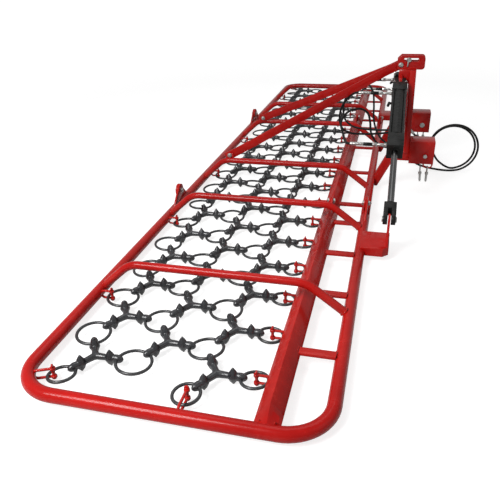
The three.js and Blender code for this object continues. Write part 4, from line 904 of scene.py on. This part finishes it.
def copyTo(pattern, x, y, turn, tilt=(0, 0), sink=0):
    obj = pattern.copy()
    obj.data = pattern.data.copy()
    bpy.context.collection.objects.link(obj)
    lean = Matrix.Rotation(radians(tilt[0]), 4, "X") @ Matrix.Rotation(radians(tilt[1]), 4, "Y")
    obj.data.transform(lean @ Matrix.Rotation(turn, 4, "Z") @ Matrix.Translation(-spot(0, 0, 0)))
    obj.data.transform(Matrix.Translation(spot(x, y, -mat["drop"] - sink)))
    return obj


# Where a leg's ring lies, how wide it is and how the leg turns to it. A ring on the mat's front,
# ends or corners is a small one.
def ringHeldBy(x, y, turn):
    shared = mat["reach"] + mat["ring"]
    outer = abs(y) > (middleColumn - 0.1) * mat["pitch"] and turn != 0 and sin(turn) * y > 0
    if outer or (turn == 0 and x > lastRowX - 1):
        return x + hungSpan * cos(turn), y + hungSpan * sin(turn), mat["hung"], turn
    if turn == 0:
        return x + shared, y, mat["ring"], turn
    ringY = y + (mat["pitch"] / 2 if sin(turn) > 0 else -mat["pitch"] / 2)
    ringX = rearRingX if x < mat["start"] + 1 else x - mat["row"] + shared
    return ringX, ringY, mat["ring"], atan2(ringY - y, ringX - x)


def buildMat():
    legs = {"centre": [], "left_wing": [], "right_wing": []}
    rings = {"centre": [], "left_wing": [], "right_wing": []}
    ringSpots = []
    for row in range(mat["rows"]):
        shift = row % 2
        for column in range(mat["columns"] - shift):
            x = mat["start"] + row * mat["row"]
            y = (column + shift / 2 - middleColumn) * mat["pitch"]
            own = sectionOf(y)
            for way in (0, 1, -1):
                ringX, ringY, radius, turn = ringHeldBy(x, y, way * legTurn)
                other = sectionOf(ringY)
                hook = 0 if own == other else (-1 if own == "centre" else 1)
                legs[own].append(copyTo(legPatterns[hook], x, y, turn))
                if not any(hypot(ringX - a, ringY - b) < mat["sameSpot"] for a, b in ringSpots):
                    count = len(ringSpots)
                    ringSpots.append((ringX, ringY))
                    tilt = (5 * sin(2.4 * count), 4 * sin(1.7 * count + 1))
                    ring = copyTo(ringPatterns[radius], ringX, ringY, 1.1 * count, tilt, mat["ringSink"])
                    rings[other].append(ring)
    for section in legs:
        name, node = section.replace("_wing", "") + "_mat_", section + "_mat"
        finish(join(legs[section], "links"), name + "links", section, castBlack, [node])
        finish(join(rings[section], "rings"), name + "rings", section, ringBlack, [node])
    print("mat:", sum(len(found) for found in legs.values()), "legs,", len(ringSpots), "rings")


buildMat()
for pattern in (*legPatterns.values(), *ringPatterns.values()):
    bpy.data.objects.remove(pattern)


# ---- bolts and pins

bolts = {"radius": 8, "head": 13, "headLong": 10}
stayBolt = {"x": 177, "rise": 153, "inner": 452.6, "outer": 469.6}
headBolt = {"x": 1150, "rise": 632, "out": 37.4}


# Bolt with a washer and a hexagon at each end, and its own end showing in the nut
def hexBolt(start, end):
    aim = (end - start).normalized()
    parts = [rod(start - aim * 0.004, end + aim * 0.004, bolts["radius"], 18, 0)]
    for at, way in ((start, -1), (end, 1)):
        outer = at + aim * way * bolts["headLong"] / 1000
        washer = rod(at, at + aim * way * 0.002, bolts["head"] + 1.5, 28, 0.4)
        nut = rod(at + aim * way * 0.002, outer, bolts["head"], 6, 1.6)
        parts += [washer, nut]
    tip = end + aim * bolts["headLong"] / 1000
    parts.append(rod(tip, tip + aim * 0.0001, bolts["radius"], 18, 0))
    return join(parts, "bolt")


for name, x in (("rear", 0), ("beam", beam["x"]), ("front", length)):
    seat, rise = ears["boltSeat"], harrow["hingeRise"]
    bolt = hexBolt(spot(x - seat, hingeOut, rise), spot(x + seat, hingeOut, rise))
    finishPair(bolt, name + "_hinge_bolt_piece", "centre", zinc, ["{}_" + name + "_hinge_bolt"])
x, rise = stayBolt["x"], stayBolt["rise"]
bolt = hexBolt(spot(x, stayBolt["inner"], rise), spot(x, stayBolt["outer"], rise))
finishPair(bolt, "stay_bolt_piece", "centre", zinc, ["{}_stay_bolt"])
x, rise = headBolt["x"], headBolt["rise"]
bolt = hexBolt(spot(x, -headBolt["out"], rise), spot(x, headBolt["out"], rise))
finish(bolt, "head_bolt_piece", "centre", zinc, ["head_bolt"])

linch = {"ring": 20, "wire": 3.4, "head": 9.5, "pin": 6.4, "long": 54}


# Linch pin that hangs by the top of its spring ring
def linchPin(x, y, top, lean=0.0, size=1.0, flat=False):
    ringOut, wire, headOut, pinOut, long = (size * linch[key] for key in ("ring", "wire", "head", "pin", "long"))
    zero = top - ringOut
    bpy.ops.object.select_all(action="DESELECT")
    bpy.ops.mesh.primitive_torus_add(
        major_radius=ringOut / 1000, minor_radius=wire / 1000, major_segments=36, minor_segments=10
    )
    ring = bpy.context.object
    ring.rotation_euler = (pi / 2, 0, 0) if flat else (0, pi / 2, 0)
    ring.location = spot(x, y, zero)
    settle(ring)
    head = zero - ringOut
    parts = [
        smooth(ring, 180),
        rod(spot(x, y, head + headOut / 2), spot(x, y, head - headOut), headOut, 18, 1.2),
        rod(spot(x, y, head - pinOut), spot(x, y, head - long + pinOut), pinOut, 16, 0.4),
        rod(spot(x, y, head - long + pinOut), spot(x, y, head - long), pinOut, 16, 0, pinOut / 2),
    ]
    obj = join(parts, "linch")
    pivot = Matrix.Translation(spot(x, y, top))
    obj.data.transform(pivot @ Matrix.Rotation(radians(lean), 4, "Y") @ pivot.inverted())
    return obj


loop = {"x": 1327, "wire": 4.5, "out": 396, "low": 118}
lowerPin = {
    "x": 1331, "rise": 189, "shank": (276.7, 417.8), "radius": 11, "edge": 1.2,
    "head": (275.7, 280.7), "headRadius": 16, "crossAt": 409, "cross": 3,
}
topPin = {
    "x": 1194.6, "rise": 662, "shank": (-41, 54.1), "radius": 9.5, "edge": 1,
    "head": (-42.3, -37.3), "headRadius": 14, "crossAt": 46, "cross": 2.8,
}
hang = loop["low"] + loop["wire"] + harrow["gap"] + linch["wire"]
finishPair(linchPin(loop["x"] + 24, loop["out"], hang), "linch_pin_piece", "{}_linch_pin_body", zinc, ["{}_linch_pin"])
finishPair(linchPin(loop["x"] - 16, loop["out"], hang, -4), "second_linch_pin", "centre", zinc)
finish(linchPin(topPin["x"], -46, topPin["rise"] + 12, 8, 0.56, True), "top_linch_pin", "top_link_pin_body", zinc)


# Link pin: its shank, a head at one end and a cross pin near the other
def linkPin(spec):
    x, rise = spec["x"], spec["rise"]
    shank, head = ([spot(x, out, rise) for out in spec[key]] for key in ("shank", "head"))
    low, high = spot(x, spec["crossAt"], rise - 9), spot(x, spec["crossAt"], rise + 9)
    return join([
        rod(*shank, spec["radius"], 28, spec["edge"]),
        rod(*head, spec["headRadius"], 28, 0.8),
        rod(low, high, spec["cross"], 12, 0.4),
    ], "pin")


finishPair(linkPin(lowerPin), "lower_link_pin_piece", "{}_lower_link_pin_body", zinc, ["{}_lower_link_pin"])
finish(linkPin(topPin), "top_link_pin_piece", "top_link_pin_body", zinc, ["top_link_pin"])
print("bolts and pins done")


# ---- headstock and ram brackets, from the solids, with rounded edges

def dressedPiece(node, bevel, body):
    finish(dressed(node, bevel), node + "_piece", body, redPaint, [node])


bevels = {"side_frame": 3.5, "link_bracket": 1.6, "mast_upright": 3.5, "stay": 1.2, "head_plate": 1.2}
for name, bevel in bevels.items():
    for side in ("left", "right"):
        dressedPiece(side + "_" + name, bevel, "centre")
for side in ("left", "right"):
    dressedPiece(side + "_ram_bracket", 2, side + "_wing")
dressedPiece("cross_tube", 3, "centre")
dressedPiece("mast_block", 3, "centre")
for name in ("upper_tee", "lower_tee", "lower_feed_coupler", "upper_feed_coupler"):
    finish(dressed(name, 1.2, 30, 50), name + "_piece", "centre", zinc, [name])
print("headstock done")


# ---- rams, each with its fittings and a small valve on the barrel

# A ram is drawn along Y from its top pin, with its ports towards -X, and then moved home
ram = {
    "capStart": 72, "capLong": 84, "barrel": 41, "flange": 2.5, "bore": 35.5, "barrelEnd": 608, "glandEnd": 726,
    "tie": 6, "tieOut": 33, "tieNut": 10.5, "earIn": 10.6, "earOut": 33, "earRound": 24, "earLong": 76, "valveAt": 250,
    "rod": 16, "shoulder": 1141, "clevis": (57, 50), "fork": 8, "bridge": 52,
}
topPinSpot = spot(ramPins["x"], ramPins["topOut"], ramPins["topRise"])
ramHome = Matrix.Translation(topPinSpot) @ Matrix.Rotation(-ramAngle, 4, "X") @ Matrix.Translation(-spot(0, 0, 0))


def bored(obj, start, end, radius):
    cutter = rod(start, end, radius, 48, 0)
    cut = obj.modifiers.new("bore", "BOOLEAN")
    cut.operation = "DIFFERENCE"
    cut.object = cutter
    pickOnly(obj)
    bpy.ops.object.modifier_apply(modifier=cut.name)
    bpy.data.objects.remove(cutter)
    return smooth(obj, 40)


def toRam(obj):
    obj.data.transform(ramHome)
    return obj


def onAxis(start, end, radius, sides, bevel):
    return rod(spot(0, start, 0), spot(0, end, 0), radius, sides, bevel)


def boreAxis(obj, start, end, radius):
    return bored(obj, spot(0, start, 0), spot(0, end, 0), radius)


# Elbow, union, collar and hose ferrule of one port, as black parts and silver ones
def portParts(along):
    face = -blockSide / 2
    reach = face - ports["out"]
    crimp = reach - ports["collar"]

    def stretch(start, end, radius, sides, bevel):
        return rod(spot(start, along, 0), spot(end, along, 0), radius, sides, bevel)

    silver = [
        stretch(face + 2, face - 14, 12, 6, 1),
        stretch(face - 12, reach + 26, 8, 24, 0.6),
        stretch(reach + 28, reach + 2, 11.2, 6, 1),
    ]
    black = [stretch(reach + 4, crimp, 9.6, 24, 1), stretch(reach - 12, reach - 30, 11, 6, 1)]
    silver.append(stretch(crimp + 2, crimp - ports["ferrule"], 9, 24, 0.8))
    for step in range(4):
        at = crimp - 12 - 14 * step
        silver.append(stretch(at, at - 5, 9.6, 24, 0.8))
    return black, silver


def ramBarrel():
    half, flange, rodBore = blockSide / 2, ram["barrel"] + ram["flange"], ram["rod"] + 0.5
    capEnd, barrelEnd, glandEnd = ram["capStart"] + ram["capLong"], ram["barrelEnd"], ram["glandEnd"]
    black = [
        boreAxis(onAxis(capEnd - 4, barrelEnd + 4, ram["barrel"], 56, 0), capEnd + 2, barrelEnd + 9, ram["bore"]),
        onAxis(capEnd, capEnd + 9, flange, 56, 1.2),
        boreAxis(onAxis(barrelEnd - 9, barrelEnd, flange, 56, 1.2), barrelEnd - 20, barrelEnd + 9, ram["bore"]),
        block(-half, half, ram["capStart"], capEnd, -half, half, 3),
        boreAxis(block(-half, half, barrelEnd, glandEnd, -half, half, 3), barrelEnd - 9, glandEnd + 9, rodBore),
        boreAxis(onAxis(glandEnd - 1, glandEnd + 2.4, 30, 40, 0.8), glandEnd - 9, glandEnd + 9, rodBore),
    ]
    ear, back, inner = ram["earRound"], ram["earLong"], ram["earIn"] + harrow["gap"]
    for x0, x1 in ((-ram["earOut"], -inner), (inner, ram["earOut"])):
        outline = [(back, ear), (0, ear)]
        outline += [(ear * cos(turn), ear * sin(turn)) for turn in [(0.5 + step / 12) * pi for step in range(1, 12)]]
        outline += [(0, -ear), (back, -ear)]
        black.append(plate(outline, "X", x0, x1, 1.5))
    silver = []
    for x in (-ram["tieOut"], ram["tieOut"]):
        for z in (-ram["tieOut"], ram["tieOut"]):
            black.append(rod(spot(x, capEnd - 4, z), spot(x, barrelEnd + 4, z), ram["tie"], 18, 0))
            silver.append(rod(spot(x, ram["capStart"] - 9, z), spot(x, ram["capStart"], z), ram["tieNut"], 6, 1))
    valve = ram["valveAt"]
    black.append(rod(spot(-half + 4, valve, 0), spot(-half - 12, valve, 0), 8, 6, 1))
    black.append(rod(spot(-half - 10, valve - 8, 0), spot(-half - 16, valve + 22, -5), 8.5, 6, 1.5))
    for key in ("upper", "lower"):
        blackParts, silverParts = portParts(ports[key])
        black += blackParts
        silver += silverParts
    return toRam(join(black, "barrel")), toRam(join(silver, "fittings"))


barrel, fittings = ramBarrel()
finishPair(barrel, "ram_barrel_piece", "{}_ram_barrel_body", ramBlack, ["{}_ram_barrel"])
finishPair(fittings, "ram_fittings", "{}_ram_barrel_body", zinc)


def ramClevis():
    wide, high = ram["clevis"]
    half = high / 2
    pin, bridge = ramPins["apart"], ramPins["apart"] - ram["bridge"]
    ear = [(bridge - 6, half), (bridge - 6, -half), (pin, -half)]
    ear += [(pin + half * sin(turn), -half * cos(turn)) for turn in [step / 12 * pi for step in range(1, 12)]]
    ear += [(pin, half)]
    sides = ((ram["fork"], wide / 2), (-wide / 2, -ram["fork"]))
    parts = [plate(ear, "X", x0, x1, 2.2) for x0, x1 in sides]
    parts.append(block(-wide / 2, wide / 2, ram["shoulder"] + 8, bridge, -half, half, 3))
    parts.append(onAxis(ram["shoulder"], ram["shoulder"] + 10, 22, 32, 2))
    return toRam(join(parts, "clevis"))


rodPiece = toRam(join([
    onAxis(ram["barrelEnd"] - 20, ram["shoulder"] + 4, ram["rod"], 40, 0),
    onAxis(ram["barrelEnd"] - 32, ram["barrelEnd"] - 4, ram["bore"] - 0.5, 48, 0.8),
], "rod"))
finishPair(rodPiece, "ram_rod_piece", "{}_ram_rod_body", chrome, ["{}_ram_rod"])
finishPair(ramClevis(), "ram_clevis", "{}_ram_rod_body", ramBlack)
pinHead = 13.5
heads = join([
    rod(spot(way * 27, ramPins["apart"], 0), spot(way * 33.5, ramPins["apart"], 0), pinHead, 28, 1.6) for way in (1, -1)
], "heads")
finishPair(toRam(heads), "ram_bottom_pin_heads", "{}_ram_rod_body", zinc)
topPinParts = [rod(spot(-36, 0, 0), spot(36, 0, 0), 12, 28, 0)]
topPinParts += [rod(spot(way * 33, 0, 0), spot(way * 37.9, 0, 0), pinHead, 28, 1.2) for way in (1, -1)]
finishPair(toRam(join(topPinParts, "pin")), "ram_top_pin_piece", "centre", zinc, ["{}_ram_top_pin"])
print("rams done")


# ---- floor and light

studio = {
    "floor": 0.5, "lift": 0.8, "near": 3.2, "far": 7.5, "world": 0.15, "mirrored": 0.38,
    "key": 165, "fill": 9, "top": 46,
}


# One value for light on the harrow, another for what the camera or a reflection sees
def seenDirectly(nodes, links, hidden, seen):
    path = nodes.new("ShaderNodeLightPath")
    mirrored = nodes.new("ShaderNodeMath")
    mirrored.operation = "MULTIPLY"
    mirrored.inputs[1].default_value = studio["mirrored"]
    links.new(path.outputs["Is Glossy Ray"], mirrored.inputs[0])
    either = nodes.new("ShaderNodeMath")
    either.operation = "MAXIMUM"
    links.new(path.outputs["Is Camera Ray"], either.inputs[0])
    links.new(mirrored.outputs[0], either.inputs[1])
    value = nodes.new("ShaderNodeMapRange")
    links.new(either.outputs[0], value.inputs["Value"])
    value.inputs["To Min"].default_value = hidden
    value.inputs["To Max"].default_value = seen
    return value.outputs["Result"]


def addFloor():
    bpy.ops.object.select_all(action="DESELECT")
    bpy.ops.mesh.primitive_plane_add(size=60, location=(0, 0, -0.0005))
    floor = bpy.context.object
    floor.name = "studio_floor"
    material, nodes, links = newMaterial("floor")
    shader = nodes["Principled BSDF"]
    shader.inputs["Base Color"].default_value = (studio["floor"], studio["floor"], studio["floor"], 1)
    shader.inputs["Roughness"].default_value = 0.9
    shader.inputs["Specular IOR Level"].default_value = 0.1
    shader.inputs["Emission Color"].default_value = (1, 1, 1, 1)
    coords = nodes.new("ShaderNodeTexCoord")
    away = nodes.new("ShaderNodeVectorMath")
    away.operation = "LENGTH"
    links.new(coords.outputs["Object"], away.inputs[0])
    lift = nodes.new("ShaderNodeMapRange")
    links.new(away.outputs["Value"], lift.inputs["Value"])
    for key, value in (("From Min", "near"), ("From Max", "far"), ("To Min", "lift")):
        lift.inputs[key].default_value = studio[value]
    glow = nodes.new("ShaderNodeMath")
    glow.operation = "MULTIPLY"
    links.new(lift.outputs["Result"], glow.inputs[0])
    links.new(seenDirectly(nodes, links, 0, 1), glow.inputs[1])
    links.new(glow.outputs[0], shader.inputs["Emission Strength"])
    floor.data.materials.append(material)


def addLight(name, at, aim, size, power):
    data = bpy.data.lights.new(name, "AREA")
    data.size = size
    data.energy = power
    lamp = bpy.data.objects.new(name, data)
    lamp.location = at
    lamp.rotation_euler = (Vector(aim) - Vector(at)).to_track_quat("-Z", "Y").to_euler()
    bpy.context.collection.objects.link(lamp)


addFloor()
addLight("key", (-1.7, -4.2, 3.1), (0, -1.7, 0), 1.8, studio["key"])
addLight("fill", (4.5, -2.5, 3.0), (0.2, 0, 0.2), 3.0, studio["fill"])
addLight("top", (-0.4, 0.8, 5.2), (0, 0, 0), 3.5, studio["top"])
world = bpy.data.worlds.new("studio")
bpy.context.scene.world = world
world.use_nodes = True
world.node_tree.nodes["Background"].inputs["Color"].default_value = (1, 1, 1, 1)
sky = world.node_tree
sky.links.new(seenDirectly(sky.nodes, sky.links, studio["world"], 1), sky.nodes["Background"].inputs["Strength"])
bpy.context.scene.view_settings.view_transform = "Standard"
print("studio lit")
